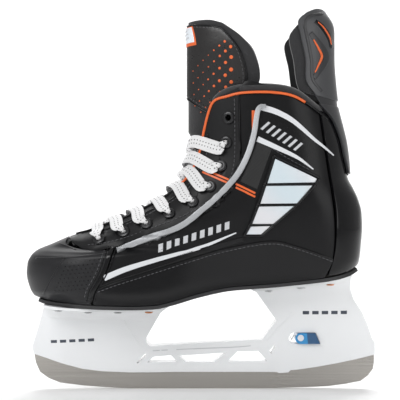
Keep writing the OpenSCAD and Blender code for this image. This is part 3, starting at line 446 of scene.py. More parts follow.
materials = {
    "toe": plastic("toePlastic", (0.010, 0.010, 0.011), (0.018, 0.018, 0.020), (0.32, 0.46), 700, 0.12,
                   shine=0.25),
    "shell": plastic("shellFilm", (0.004, 0.004, 0.0045), (0.009, 0.009, 0.010), (0.24, 0.4), 520, 0.12,
                     shine=0.2),
    "eyestay": plastic("eyestayFilm", (0.004, 0.004, 0.0045), (0.010, 0.010, 0.011), (0.32, 0.48), 820, 0.16,
                       shine=0.22),
    "gloss": plastic("glossBlack", (0.003, 0.003, 0.0035), (0.006, 0.006, 0.007), (0.06, 0.13), 300, 0.02,
                     0.1, 0.15, shine=0.2),
    "sole": plastic("solePlate", (0.012, 0.012, 0.013), (0.026, 0.026, 0.028), (0.4, 0.6), 600, 0.1),
    "board": plastic("insoleBoard", (0.05, 0.048, 0.045), (0.09, 0.085, 0.08), (0.7, 0.85), 900, 0.15),
    "white": plastic("holderWhite", (0.80, 0.81, 0.82), (0.75, 0.765, 0.78), (0.16, 0.30), 380, 0.03,
                     0.15, 0.35),
    "whiteTrim": plastic("whiteTrim", (0.72, 0.73, 0.75), (0.62, 0.64, 0.67), (0.3, 0.45), 900, 0.05),
    "greyPlate": plastic("guardPlate", (0.040, 0.041, 0.044), (0.060, 0.061, 0.065), (0.3, 0.46), 900, 0.12),
    "greyEdge": plastic("guardEdge", (0.018, 0.018, 0.020), (0.030, 0.030, 0.033), (0.26, 0.4), 900, 0.08),
    "tongueSkin": plastic("tongueSkin", (0.012, 0.011, 0.011), (0.022, 0.021, 0.021), (0.2, 0.36), 620, 0.2,
                          shine=0.4),
    "orange": plastic("orangeTrim", (0.80, 0.14, 0.025), (0.68, 0.11, 0.02), (0.3, 0.46), 900, 0.08),
    "badge": plastic("badgeFilm", (0.80, 0.83, 0.86), (0.66, 0.72, 0.78), (0.2, 0.34), 500, 0.04, 0.2, 0.4),
    "eyelet": plastic("eyeletPaint", (0.010, 0.010, 0.011), (0.03, 0.03, 0.032), (0.24, 0.42), 900, 0.05,
                      0.2, 0.2, 0.6),
    "clear": plastic("lacingTip", (0.72, 0.73, 0.74), (0.6, 0.61, 0.62), (0.12, 0.25), 600, 0.04, 0.2, 0.5),
    "bars": plastic("printedBars", (0.03, 0.04, 0.06), (0.06, 0.07, 0.09), (0.3, 0.45), 900, 0.03),
    # Grey of the printed bars, also used as painted shade in the groove along the holder's bridge
    "greyPrintAndGrooveShade": plastic("greyPrintAndGrooveShade", (0.58, 0.59, 0.61), (0.46, 0.47, 0.49), (0.3, 0.45), 900, 0.03),
    "lining": cloth("liningCloth", (0.022, 0.022, 0.024), (0.006, 0.006, 0.007), 0.9, 0.25),
    "foam": cloth("footbedCloth", (0.075, 0.078, 0.085), (0.03, 0.031, 0.034), 1.2, 0.25),
    "felt": felt("tongueFelt", (0.016, 0.016, 0.018), (0.004, 0.004, 0.005)),
    "thread": cloth("threadGrey", (0.11, 0.11, 0.12), (0.04, 0.04, 0.045), 0.5, 0.1, False),
    "lace": laceCloth("laceCloth", (0.82, 0.82, 0.82), (0.66, 0.66, 0.67), (0.02, 0.02, 0.022)),
    "silver": hatched("silverFoil", (0.56, 0.57, 0.59), (0.25, 0.26, 0.27), 0.8),
    "ribbed": hatched("ribbedBlack", (0.014, 0.014, 0.015), (0.002, 0.002, 0.002), 1.5, 0.0, 0.35),
    "pearl": pearlFilm("pearlFilm", (0.72, 0.75, 0.77), (0.50, 0.64, 0.71), (0.76, 0.66, 0.66)),
    "steel": steel("runnerSteel", (0.47, 0.45, 0.42), (0.31, 0.295, 0.275)),
    "spring": steel("springSteel", (0.55, 0.55, 0.56), (0.36, 0.36, 0.37), (60, 60, 60)),
    "rivet": steel("rivetSteel", (0.66, 0.67, 0.68), (0.45, 0.45, 0.46), (300, 300, 300), (0.2, 0.36)),
    "copper": steel("rivetCopper", (0.72, 0.30, 0.13), (0.48, 0.19, 0.09), (300, 300, 300), (0.22, 0.38)),
    "slider": sliderPlastic("sliderBlue", (0.012, 0.23, 0.52), (0.006, 0.07, 0.18), 0.0965, 0.1),
}
print("materials made")


# Mesh makers
def finishPiece(name, bm, material, body, replaced=(), blend=None, smooth=True):
    mesh = bpy.data.meshes.new(name)
    for face in bm.faces:
        face.smooth = smooth
    bm.to_mesh(mesh)
    bm.free()
    obj = bpy.data.objects.new(name, mesh)
    bpy.context.scene.collection.objects.link(obj)
    mesh.materials.append(materials[material])
    if blend:
        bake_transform(obj)
    else:
        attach(obj, body)
    if replaced:
        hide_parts(*replaced)
    return obj


# A piece whose faces were added one by one, with its normals turned outwards
def closedPiece(name, bm, material, body, replaced=(), smooth=True):
    bmesh.ops.recalc_face_normals(bm, faces=bm.faces[:])
    return finishPiece(name, bm, material, body, replaced, smooth=smooth)


# A grid through rows of points that faces the outward directions; its UV map is in millimetres
def gridMesh(points, outward, uv=None):
    rows, columns = points.shape[:2]
    bm = bmesh.new()
    layer = bm.loops.layers.uv.new("UVMap")
    bmesh.ops.create_grid(bm, x_segments=columns - 1, y_segments=rows - 1, size=1.0)
    if uv is None:
        uv = np.stack([runLength(points, 1), runLength(points, 0)], 2)
    place = {}
    for vertex in bm.verts:
        i = int(round((vertex.co.x + 1) / 2 * (columns - 1)))
        j = int(round((vertex.co.y + 1) / 2 * (rows - 1)))
        place[vertex] = (j, i)
    for vertex, (j, i) in place.items():
        vertex.co = Vector(points[j, i]) * mm
    for face in bm.faces:
        for loop in face.loops:
            loop[layer].uv = uv[place[loop.vert]]
    bm.normal_update()
    facing = 0.0
    for face in bm.faces:
        j, i = place[face.verts[0]]
        facing += face.normal.dot(Vector(outward[j, i])) * face.calc_area()
    if facing < 0:
        bmesh.ops.reverse_faces(bm, faces=bm.faces[:])
    return bm


def softenEdges(obj, width, angle):
    bevel = obj.modifiers.new("edge", "BEVEL")
    bevel.width = width * mm
    bevel.segments = 2
    bevel.limit_method = "ANGLE"
    bevel.angle_limit = math.radians(angle)


def thicken(obj, thickness, edge, offset=-1.0):
    solid = obj.modifiers.new("thickness", "SOLIDIFY")
    solid.thickness = thickness * mm
    solid.offset = offset
    softenEdges(obj, edge, 55)
    return obj


def slabPiece(name, points, outward, thickness, material, body, replaced=(), edge=0.4, blend=None,
              uv=None):
    bm = gridMesh(points, outward, uv)
    obj = finishPiece(name, bm, material, body, replaced, blend)
    return thicken(obj, thickness, edge)


# Shares across and up a grid: across they run from low to 1
def gridOf(columns, rows, low=0.0):
    return np.meshgrid(np.linspace(low, 1.0, columns + 1), np.linspace(0, 1, rows + 1))


# A layer on one side of the boot, from a net of side-view points
def sideLayer(name, net, side, depth, thickness, columns, rows, material, replaced=(), edge=0.4):
    u, v = gridOf(columns, rows)
    points, normals = onSkin(netPoint(net, u, v), side, depth)
    return slabPiece(name, points, normals, thickness, material, "boot", replaced, edge)


# A layer that wraps round the toe or the heel
def wrapLayer(name, net, depth, thickness, columns, rows, heel, material, replaced, edge=0.4):
    u, v = gridOf(columns, rows, -1.0)
    share = np.abs(u)
    p = netPoint(net, share, v)
    side = np.where(u * (1 if heel else -1) > 0, medial, lateral)
    a = np.where(share < 1e-6, 1.0 if heel else 0.0, wrapOf(p[..., 0], p[..., 1]))
    normals = skinNormal(a, side, p[..., 1])
    points = skin(a, side, p[..., 1]) + depth * normals
    return slabPiece(name, points, normals, thickness, material, "boot", replaced, edge)


# A strip on the boot's side along rows of [x, z, width], with the depth given or as a fourth number
def strip(name, rows, side, thickness, material, slot="shell_black", depth=None, step=1.6, across=4,
          edge=0.12):
    found, places, uv = ribbonPlaces(rows, step, across)
    points, normals = onSkin(places, side, found[:, 3] if depth is None else depth)
    slabPiece(name, points, normals, thickness, material, "boot", (), edge, uv=uv)


# Walls between rings of vertices, and a face on each end
def joinRings(bm, rings):
    count = len(rings[0])
    for a, b in zip(rings, rings[1:]):
        for k in range(count):
            bm.faces.new((a[k], a[(k + 1) % count], b[(k + 1) % count], b[k]))
    bm.faces.new(rings[0][::-1])
    bm.faces.new(rings[-1])


def cornerAngles(corners):
    return [2 * math.pi * k / corners for k in range(corners)]


def tubeMesh(bm, points, radius, corners, squash, normals):
    points = np.asarray(points, float)
    tangent = unitOf(np.gradient(points, axis=0))
    out = unitOf(normals - (normals * tangent).sum(1, keepdims=True) * tangent)
    aside = np.cross(tangent, out)
    radius = np.broadcast_to(np.asarray(radius, float), (len(points),))
    rings = []
    for p, o, s, r in zip(points, out, aside, radius):
        rings.append([bm.verts.new(Vector(p + r * (math.cos(q) * s + squash * math.sin(q) * o)) * mm)
                      for q in cornerAngles(corners)])
    joinRings(bm, rings)


# A round cord, bead or piping that follows a side-view line on the boot
def piping(name, line, radius, side, depth, material, step=1.5, squash=1.0):
    found, _ = evenSteps(line, step)
    points, normals = onSkin(found, side, depth)
    bm = bmesh.new()
    tubeMesh(bm, points, radius, 8, squash, normals)
    closedPiece(name, bm, material, "boot")


# Stitches along points on any surface: grains of thread with small gaps
def stitchMesh(bm, points, normals, length=2.6, gap=1.0, radius=0.32):
    points = np.asarray(points, float)
    run = runLength(points)
    start = 0.5
    while start + length < run[-1]:
        share = np.linspace(start, start + length, 4)
        path = np.stack([np.interp(share, run, points[:, k]) for k in range(3)], 1)
        out = np.stack([np.interp(share, run, normals[:, k]) for k in range(3)], 1)
        tubeMesh(bm, path, radius * np.array([0.45, 1.0, 1.0, 0.45]), 5, 1.0, out)
        start += length + gap


def stitches(name, line, side, depth):
    found, _ = evenSteps(line, 1.0)
    points, normals = onSkin(found, side, depth)
    bm = bmesh.new()
    stitchMesh(bm, points, normals)
    closedPiece(name, bm, "thread", "boot")


# A small round dot, slightly domed
def discMesh(bm, centre, normal, radius, height, corners=10):
    normal = unitOf(normal)
    across = unitOf(np.cross(normal, [0.0, 0.0, 1.0] if abs(normal[2]) < 0.9 else [1.0, 0.0, 0.0]))
    up = np.cross(normal, across)
    rings = []
    for share, lift in ((1.0, -0.3), (1.0, height * 0.6), (0.7, height)):
        rings.append([bm.verts.new(Vector(centre + radius * share * (math.cos(q) * across + math.sin(q) * up)
                                          + lift * normal) * mm) for q in cornerAngles(corners)])
    joinRings(bm, rings)


# Dots at side-view places on the boot
def dots(name, places, side, depth, radius, height):
    points, normals = onSkin(np.array(places, float), side, depth)
    bm = bmesh.new()
    for p, n in zip(points, normals):
        discMesh(bm, p, n, radius, height)
    finishPiece(name, bm, "gloss", "boot")


# A CAD node shown as it is, in one of the materials
def showNode(node, material):
    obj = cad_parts[node]
    obj.data.materials.clear()
    obj.data.materials.append(materials[material])


# A merged, smooth copy of a CAD node, with its edges softened where a bevel is given
def softCopy(name, node, material, smoothAngle, bevel=0.0):
    bm = bmesh.new()
    bm.from_mesh(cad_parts[node].data)
    bmesh.ops.remove_doubles(bm, verts=bm.verts[:], dist=1e-6)
    bmesh.ops.dissolve_limit(bm, angle_limit=math.radians(0.5), verts=bm.verts[:], edges=bm.edges[:])
    obj = finishPiece(name, bm, material, "boot", (node,))
    obj.data.set_sharp_from_angle(angle=math.radians(smoothAngle))
    if bevel:
        softenEdges(obj, bevel, 28)


# Eyelets: places in side view from the toe up; the last pair is left empty
eyeletPlaces = np.array([[-84, 130], [-63.5, 136], [-44.5, 143.3], [-25.5, 151.5], [-6, 161.5], [8.5, 174.5],
    [17.5, 191.5], [22, 211], [24, 231.5]], float)
lacing = {
    "laced": 8, "facing": -5.0, "flangeTop": 2.15, "wide": 11.0, "thick": 1.1,
    "holeWide": 4.0, "holeThick": 1.9,
}


def eyeletPoint(i, side):
    return onSkin(eyeletPlaces[i], side, 0.0)[0]


def eyeletAxis(i, side):
    return onSkin(eyeletPlaces[i], side, 0.0)[1]


# Free ends of the lace: the same route as in the CAD model, hanging inside the boot to the footbed
laceEndRoute = [[22, -21, 206], [24, -21, 200], [27, -21.5, 193], [30, -22, 185.5], [33.5, -23, 177],
    [36.5, -24, 168], [39, -24.5, 158], [40.5, -25, 147], [40.5, -25, 136], [38.5, -24.5, 125],
    [34, -23.5, 114], [27, -22, 105], [17.5, -21, 98.5], [6.5, -20.5, 94.6], [-4.5, -20, 92],
    [-14.5, -19.5, 89.4], [-24, -19, 86.8]]
laceEndLook = {"wide": 7.6, "thick": 1.3, "arch": 0.25, "edge": 0.35, "medialShift": 4, "turnFrom": 0.5,
    "turnOver": 0.3}


def makeLaceEnd(label, side):
    shift = laceEndLook["medialShift"]
    route = np.array([[x, y if side == lateral else -y - shift, z] for x, y, z in laceEndRoute], float)
    found, where = evenSteps(route, 2.0)
    tangent = unitOf(np.gradient(found, axis=0))
    turn = smoothStep((where / where[-1] - laceEndLook["turnFrom"]) / laceEndLook["turnOver"])[:, None]
    sideways = np.array([0.0, 1.0, 0.0])
    across = mix(np.cross(tangent, sideways), sideways[None], turn)
    across = unitOf(across - (across * tangent).sum(1, keepdims=True) * tangent)
    outward = np.cross(tangent, across)
    half = laceEndLook["wide"] / 2
    share = np.array([-1.0, -0.55, 0.0, 0.55, 1.0])
    arch = laceEndLook["arch"] * (1 - share**2)
    points = found[None] + share[:, None, None] * half * across[None] + arch[:, None, None] * outward[None]
    uv = np.stack(np.broadcast_arrays(where[None, :], share[:, None] * half), 2)
    node = "lace_end_" + label.lower()
    bm = gridMesh(points, np.broadcast_to(outward[None], points.shape), uv)
    obj = finishPiece("laceEnd" + label, bm, "lace", "boot", (node,))
    thicken(obj, laceEndLook["thick"], laceEndLook["edge"], 0.0)


for label, side in sides:
    makeLaceEnd(label, side)
showNode("lace_tips", "clear")
print("lace ends made")


# Boot layers, from the same nets of side-view points as the CAD model
wallLift = 3.1  # the walls' foot above the sole line
drawnLift = 2.8  # the lift that the toe's lowest row is drawn for


def onFoot(xs, lift=wallLift):
    return [[x, float(soleLine(x)) + lift] for x in xs]


def toeFoot(x, z):
    return [x, z + wallLift - drawnLift]


toeNet = [
    [toeFoot(float(frontLine(81)), 81), toeFoot(-124.8, 77.5), toeFoot(-106.6, 76), toeFoot(-91, 75.6)],
    [[float(frontLine(96)), 96], [-136, 92], [-110, 89], [-87, 88.5]],
    [[float(frontLine(110)), 110], [-136, 106], [-110, 103], [-80, 102]],
    [[float(frontLine(121)), 121], [-128, 117], [-104, 114.5], [-75, 114]],
    [[float(frontLine(131.5)), 131.5], [-113, 125.5], [-97, 121.5], [-75.2, 121.5]]]
quarterUpper = [
    [[-86, 90], [-60, 90.5], [-38, 92], [-14, 96], [8, 99], [28, 102], [48, 105], [68, 107], [88, 108],
     [111, 110]],
    [[-75.5, 108], [-52, 110], [-32, 113.5], [-10, 118], [12, 124], [32, 130], [52, 134], [72, 136],
     [91, 137.5], [113, 138]],
    [[-72.5, 121.5], [-48, 128.5], [-26, 137], [-4, 147], [16, 157], [31, 168], [48, 174], [68, 176],
     [88, 175], [110, 172]],
    [[-71, 123], [-42, 132.5], [-16, 142.5], [6, 154], [23, 169.5], [34, 196], [48, 213], [66, 216],
     [85, 215], [104, 212]],
    [[-70, 123.4], [-40, 133], [-14, 143], [8, 155.2], [25, 171.6], [34.3, 196], [34, 257.3], [56, 258.8],
     [79, 255], [100, 243]]]
quarterFeet = [-89.5, -62, -38, -14, 8, 28, 48, 68, 86, 104]
quarterNet = [onFoot(quarterFeet)] + quarterUpper
liningNet = [onFoot(quarterFeet, wallLift + 2)] + quarterUpper
heelNet = [
    [[137, 109], [128, 103.5], [118, 101], [107.5, 99.5]],
    [[139, 122], [132, 121], [123, 120.5], [113.2, 120]],
    [[140, 150], [132, 150], [124, 150], [114.5, 150]],
    [[132, 174], [126, 174], [119, 174], [111.5, 174]],
    [[124.5, 211], [118, 211.5], [112, 212], [105.5, 212]],
    [[119, 232], [114, 233.5], [108, 235.5], [101.5, 238]]]
heelLiningNet = [[*row[:3], [row[3][0] + 0.8, row[3][1]]] for row in heelNet]
padNet = [
    [[52, 140], [62, 132], [80, 130], [96, 136]],
    [[46, 160], [62, 158], [82, 158], [102, 160]],
    [[50, 196], [64, 196], [84, 198], [98, 200]],
    [[56, 240], [66, 246], [80, 243], [92, 236]]]
wrapNet = [
    onFoot([-88.5, -60, -30, 0, 30, 60, 84, 104]),
    [[-86.5, 86], [-72, 90], [-48, 96], [-10, 107], [24, 115], [58, 118.5], [80, 115], [110, 109]],
    [[-85, 89.5], [-70, 95], [-48, 102], [-8, 114.5], [22, 123], [58, 129], [80, 125], [111.5, 114]]]
facingFront = [[-112, 132], [-95.5, 137.2], [-80, 143], [-60.5, 151], [-40, 161], [-22, 172], [-8.5, 186],
    [-0.5, 204], [3, 222], [9, 246]]
facingRear = [[-106, 126], [-92, 121], [-74, 123.5], [-55, 129], [-35, 136.5], [-14, 144.5], [6, 155.5],
    [24, 172], [33, 195], [32, 256.5]]

# Depths under the outer skin, in millimetres
bootLook = {"quarter": -1.35, "quarterThick": 2.7, "lining": -4.3, "liningThick": 3.8, "pad": -8.6,
    "padCrown": 3.8, "printLift": 0.35}


# Flat pieces under the foot: their ends, the level that gives their outline, and their narrowest half
soleLook = {"front": -137.0, "rear": 134.0, "level": 1.5, "toeGap": 0.4, "tipHalf": 1.5}


def solePlate(name, height, thickness, margin, cup, start, end, material, replaced):
    share, across = np.meshgrid(np.linspace(start, end, 91), np.linspace(-1, 1, 25))
    x = mix(soleLook["front"], soleLook["rear"], (1 - np.cos(math.pi * share)) / 2)
    z = soleLine(x) + wallLift + soleLook["level"]
    outline = halfWidth(np.maximum(x, frontLine(z) + soleLook["toeGap"]), z)
    half = np.maximum(outline + margin, soleLook["tipHalf"])
    points = np.stack([x, centreLine(x) + across * half, soleLine(x) + height + cup * across**4], -1)
    up = np.broadcast_to([0.0, 0.0, 1.0], points.shape)
    return slabPiece(name, points, up, thickness, material, "boot", replaced, 0.5)


def anklePad(label, side):
    u, v = gridOf(24, 30)
    places = netPoint(padNet, u, v)
    crown = roundOff(np.minimum(u, 1 - u) * 4, 2) * roundOff(np.minimum(v, 1 - v) * 4, 2)
    points, normals = onSkin(places, side, bootLook["pad"] - bootLook["padCrown"] * crown)
    obj = slabPiece("anklePad" + label, points, -normals, 0.8, "lining", "boot",
                    ("ankle_pad_" + label.lower(),), 0.2)


solePlate("outsolePlate", 2.95, 2.9, -0.3, 0.0, 0.0, 1.0, "sole", ("outsole",))
footbed = solePlate("footbedPad", 8.2, 2.9, -13.5, 2.5, 0.17, 0.85, "foam", ("footbed",))
wrapLayer("toeCap", toeNet, 0.0, 2.0, 110, 44, False, "toe", ("toe_cap",), 0.5)
wrapLayer("toeLining", toeNet, -2.5, 1.9, 60, 24, False, "lining", ("toe_lining",))
wrapLayer("heelCounter", heelNet, 0.0, 4.0, 60, 60, True, "gloss", ("heel_counter",), 0.6)
wrapLayer("heelLining", heelLiningNet, -4.3, 3.8, 40, 40, True, "lining", ("heel_lining",))
for label, side in sides:
    low = label.lower()
    sideLayer("quarter" + label, quarterNet, side, bootLook["quarter"], bootLook["quarterThick"], 110, 60,
              "shell", ("quarter_" + low,))
    sideLayer("lining" + label, liningNet, side, bootLook["lining"], bootLook["liningThick"], 60, 40,
              "lining", ("lining_" + low,))
    sideLayer("lowerShell" + label, wrapNet, side, 0.0, 1.4, 110, 16,
              "gloss", ("side_wrap_" + low,))
    softCopy("eyestay" + label, "facing_" + low, "eyestay", 40)
    anklePad(label, side)
    showNode("eyelets_" + low, "eyelet")
showNode("insole_board", "board")
print("boot layers made")


# Collar: a padded felt roll along the top edge, with an orange piping under it
collarLine = [[8.5, 239], [13.5, 247.5], [22, 252.8], [34, 255.4], [52.5, 256], [67.5, 255], [78.5, 252.5],
    [87.5, 248], [99, 240.5], [108, 234.5]]
collarLook = {"radius": 4.4, "depth": -4.6, "endShare": 0.55, "taper": 9, "piping": 1.15, "drop": 3.4}


def collarRoll(label, side):
    found, where = evenSteps(collarLine, 1.5)
    points, normals = onSkin(found, side, collarLook["depth"])
    ends = np.minimum(where, where[-1] - where)
    radius = collarLook["radius"] * mix(collarLook["endShare"], 1, smoothStep(ends / collarLook["taper"]))
    bm = bmesh.new()
    tubeMesh(bm, points, radius, 18, 0.95, normals)
    obj = closedPiece("collarRoll" + label, bm, "felt", "boot")


eyestayEdge = [[-106, 134], [-94.5, 137], [-79.5, 142.5], [-60, 150.2], [-39.7, 160.2], [-21.5, 171.4],
    [-8, 185.6], [0, 204], [3.6, 222], [8, 239], [12.5, 246.5]]
for label, side in sides:
    collarRoll(label, side)
    lowered = [[x, z - collarLook["drop"]] for x, z in collarLine[2:]]
    orangeEnd = [p for p in lowered if p[0] < 90]
    piping("orangePiping" + label, eyestayEdge[5:] + orangeEnd, collarLook["piping"], side, 0.15, "orange",
           1.2)
    piping("throatBead" + label, eyestayEdge[:6], collarLook["piping"], side, 0.1, "gloss",
           1.2)
    piping("collarBead" + label, lowered[len(orangeEnd) - 1:], 0.9, side, 0.0, "gloss", 1.2)
    inset = [[x + 3.4, z - 3.0] for x, z in eyestayEdge[1:-2]]
    piping("eyestayBead" + label, inset, 0.8, side, 0.0, "gloss", 1.5, 0.7)
    stitches("eyestayStitch" + label, [[x + 1.6, z - 1.6] for x, z in inset], side, 0.1)
    rear = [[x - 2.4, z + 4.4] for x, z in facingRear[1:8]] + [[28.6, 197], [28.6, 250]]
    stitches("eyestayRearStitch" + label, rear, side, 0.1)
    piping("eyestayRearBead" + label, [[33.0, 204], [32.4, 230], [31.8, 254]], 0.9, side, -0.6, "gloss",
           1.5, 0.8)
print("collar and eyestay edges made")


# Printed and bonded details on both sides: stripes as [x, z, width] or [x, z, width, depth]
onShell = bootLook["quarter"] + bootLook["printLift"]
stripeLook = {"lift": 1.5, "thick": 3.1}
silverStripe = [[-69, 122, 3.4], [-40.3, 132, 4.6], [-16, 141.4, 4.6], [4.2, 156.5, 4.6], [19, 170.2, 4.6],
    [31, 184, 4.6], [39.4, 199.9, 4.6], [44.8, 217.6, 4.4], [48.4, 238.2, 4.0], [54.6, 241, 3.2]]
upperStripe = [[49.5, 240.4, 5.0, onShell], [64, 236, 4.6, onShell], [78.1, 228.4, 4.0, onShell],
    [94.9, 214.6, 2.8, onShell], [104, 207.4, 2.0, 0.1], [112.6, 200.6, 1.0, 0.35]]
lowerStripe = [[47.6, 213.8, 4.6, onShell], [69.3, 204.1, 3.6, onShell], [82.3, 197.6, 2.6, onShell],
    [94.9, 188.6, 1.0, onShell]]
soleStripe = [[-79, 98.6, 4.8, 0.1], [-61.3, 106, 4.4, onShell], [-35.3, 113.8, 3.6, onShell],
    [0, 123.4, 2.8, onShell], [30.2, 135.6, 1.0, onShell]]
glossBand = [[-82.5, 93.4, 4.4, 0.15], [-70, 98.6, 5.0, onShell], [-48, 105.2, 5.0, onShell],
    [-8, 117.8, 5.0, onShell], [22, 126.6, 5.0, onShell], [36, 130.5, 4.0, onShell]]
orangeSliver = [[44.3, 237.4, 2.8, onShell + 0.2], [43.9, 229, 2.0, onShell + 0.2],
    [43.3, 219.2, 0.4, onShell]]
facets = {
    "One": ([[56, 176.8], [95.7, 177.6]], [[62.5, 197.2], [97.3, 180.6]]),
    "Two": ([[50.1, 159.9], [81.7, 160.2]], [[55, 174.7], [94.1, 175.1]]),
    "Three": ([[43.2, 143], [63, 143]], [[49.1, 157.5], [78.5, 157.9]]),
    "Four": ([[38.4, 134.4], [50.7, 134.4]], [[42.2, 140.9], [58.8, 141.6]]),
}
facetLeans = (0.5, -0.5, 0.45, -0.35)
facetLook = {"depth": 0.25, "crown": 0.12, "thick": 1.6}
panelOutline = [[36.6, 133.2], [41.6, 142.2], [47.6, 158.8], [53.6, 176], [61.4, 199.8], [80, 191],
    [99.6, 181.6], [96.2, 176.2], [80.4, 158.8], [61.6, 142.2], [51.4, 132.9], [36.6, 133.2]]
panelRibs = [([55, 175.8], [95, 176.4]), ([48.6, 158.7], [80, 159]), ([42.4, 142], [61, 142.2])]
ribbedPanel = [[[33.6, 178.6], [47.5, 172]], [[47.8, 211.2], [59.6, 205.4]]]
orangeLines = {
    "Front": ([[2, 189.6], [13, 184.6], [24, 179.8]], 0.3),
    "Rear": ([[29.6, 176.6], [46, 168.6]], onShell + 0.1),
}
plainStrip = {"step": 2.0, "across": 3, "edge": 0.15}
bandField = [[56, 208], [88, 196], [98, 209], [58, 232]]


def facetPiece(name, lower, upper, side, lean, replaced):
    u, v = gridOf(16, 12)
    places = netPoint([lower, upper], u, v)
    depth = facetLook["depth"] + lean * (v - 0.5) + facetLook["crown"] * (1 - (2 * u - 1) ** 2)
    points, normals = onSkin(places, side, depth)
    slabPiece(name, points, normals, facetLook["thick"], "pearl", "boot", replaced, 0.3)


# A frame of straight beads between corners
def straightPiping(name, corners, radius, side):
    bm = bmesh.new()
    for a, b in zip(corners, corners[1:]):
        found, _ = evenSteps([a, b], 1.5)
        points, normals = onSkin(found, side, 0.1)
        tubeMesh(bm, points, radius, 8, 0.8, normals)
    closedPiece(name, bm, "gloss", "boot")


# A row of printed bars that lean along their line, each four by four faces with a base under it
def slantedBars(name, start, end, count, size, lean, side):
    bm = bmesh.new()
    start, end = np.array(start, float), np.array(end, float)
    direction = unitOf(end - start)
    up = np.array([-direction[1], direction[0]]) + lean * direction
    u, v = np.meshgrid(np.linspace(-0.5, 0.5, 5), np.linspace(-0.5, 0.5, 5))
    rim = [(0, i) for i in range(4)] + [(j, 4) for j in range(4)]
    rim += [(4, i) for i in range(4, 0, -1)] + [(j, 0) for j in range(4, 0, -1)]
    for k in range(count):
        centre = mix(start, end, (k + 0.5) / count)
        places = centre + u[..., None] * size[0] * direction + v[..., None] * size[1] * up
        top, base = ([[bm.verts.new(Vector(p) * mm) for p in row] for row in onSkin(places, side, depth)[0]]
                     for depth in (onShell, onShell - 0.4))
        for j in range(4):
            for i in range(4):
                bm.faces.new((top[j][i], top[j][i + 1], top[j + 1][i + 1], top[j + 1][i]))
                bm.faces.new((base[j][i], base[j + 1][i], base[j + 1][i + 1], base[j][i + 1]))
        for (j, i), (n, m) in zip(rim, rim[1:] + rim[:1]):
            bm.faces.new((top[j][i], base[j][i], base[n][m], top[n][m]))
    closedPiece(name, bm, "greyPrintAndGrooveShade", "boot", smooth=False)


# Even places between four corners
def dotField(corners, columns, rows):
    u, v = (c[..., None] for c in gridOf(columns - 1, rows - 1))
    a, b, c, d = (np.array(p, float) for p in corners)
    return mix(mix(a, b, u), mix(d, c, u), v).reshape(-1, 2)


# Toe cap: strip over the rear seam, soft creases and rows of small holes
toeSeam = [[-72.6, 124.6], [-73.6, 121], [-79.8, 103], [-87.6, 88.6], [-90.6, 79.4]]
toeCreases = {
    "toeCrease": ([[-139.5, 113.6], [-126, 114], [-112.6, 115.1], [-92, 117.4], [-77.5, 119.6]], 1.0),
    "toeCreaseLow": ([[-113, 114.2], [-121, 102], [-129, 89], [-132.5, 83]], 0.9),
    "toeCreaseTop": ([[-104, 121.2], [-113, 124.4], [-121.5, 126.6]], 0.8),
}
toeField = [[-121, 87], [-92, 90], [-79.5, 114.5], [-110, 111]]


def makeToeDetails(label, side):
    strip("toeSeam" + label, [[x, z, 3.2] for x, z in toeSeam], side, 0.7, "gloss", "gloss_black", 0.45,
          **plainStrip)
    for k, shift in enumerate((-3.4, 3.4)):
        line = [[x + shift, z] for x, z in toeSeam]
        piping("toeSeamBead" + str(k) + label, line, 0.55, side, 0.05, "gloss", squash=0.8)
    for name, (line, radius) in toeCreases.items():
        piping(name + label, line, radius, side, -0.1, "toe", squash=0.5)
    dots("toeHoles" + label, dotField(toeField, 9, 8), side, 0.0, 0.62, 0.12)
    stitches("toeStitch" + label, [[x - 5.6, z + 0.6] for x, z in toeSeam[1:]], side, 0.1)


for label, side in sides:
    strip("silverStripe" + label, silverStripe, side, stripeLook["thick"], "silver", depth=stripeLook["lift"])
    strip("upperStripe" + label, upperStripe, side, 0.5, "whiteTrim")
    strip("lowerStripe" + label, lowerStripe, side, 0.5, "whiteTrim")
    strip("soleStripe" + label, soleStripe, side, 0.5, "whiteTrim")
    strip("glossBand" + label, glossBand, side, 0.5, "gloss", "gloss_black")
    strip("orangeSliver" + label, orangeSliver, side, 0.4, "orange", "accent_orange")
    sideLayer("ribbedPanel" + label, ribbedPanel, side, onShell, 0.5, 24, 10,
              "ribbed", edge=0.2)
    for k, (name, (lower, upper)) in enumerate(facets.items()):
        taken = ("side_panel_" + label.lower(),) if k == 0 else ()
        facetPiece("facet" + name + label, lower, upper, side, facetLeans[k], taken)
    straightPiping("panelFrame" + label, panelOutline, 1.25, side)
    for k, ends in enumerate(panelRibs):
        straightPiping("panelRib" + str(k) + label, ends, 0.9, side)
    for k, shift in enumerate((0.0, -3.0)):
        for place, (line, depth) in orangeLines.items():
            strip("orangeLine" + place + str(k) + label, [[x, z + shift, 1.7] for x, z in line], side, 0.4,
                  "orange", "accent_orange", depth, **plainStrip)
    slantedBars("upperBars" + label, [52, 226], [84, 206], 7, (2.2, 8.5), 0.3, side)
    slantedBars("lowerBars" + label, [-36, 122.6], [26, 142.6], 9, (4.0, 6.0), 0.35, side)
    makeToeDetails(label, side)
    stitches("lowerShellStitch" + label, [[x, z - 2.6] for x, z in wrapNet[2]], side, 0.1)
    stitches("anklePadStitch" + label, [[60, 206], [76, 196], [92, 188]], side, onShell - 0.2)
    dots("bandHoles" + label, dotField(bandField, 9, 5), side, bootLook["quarter"], 0.55, 0.1)
print("side details made")


# Lace: the same path as in the CAD model, as a wider woven ribbon
def facingTangent(i):
    beyond = 1 if i == int(i) else 0
    low = max(math.floor(i) - beyond, 0)
    high = min(math.ceil(i) + beyond, len(eyeletPlaces) - 1)
    step = eyeletPlaces[high] - eyeletPlaces[low]
    return unitOf([step[0], 0.0, step[1]])


def inBoot(p):
    return abs(p[1] - centreLine(p[0])) < halfWidth(p[0], p[2])


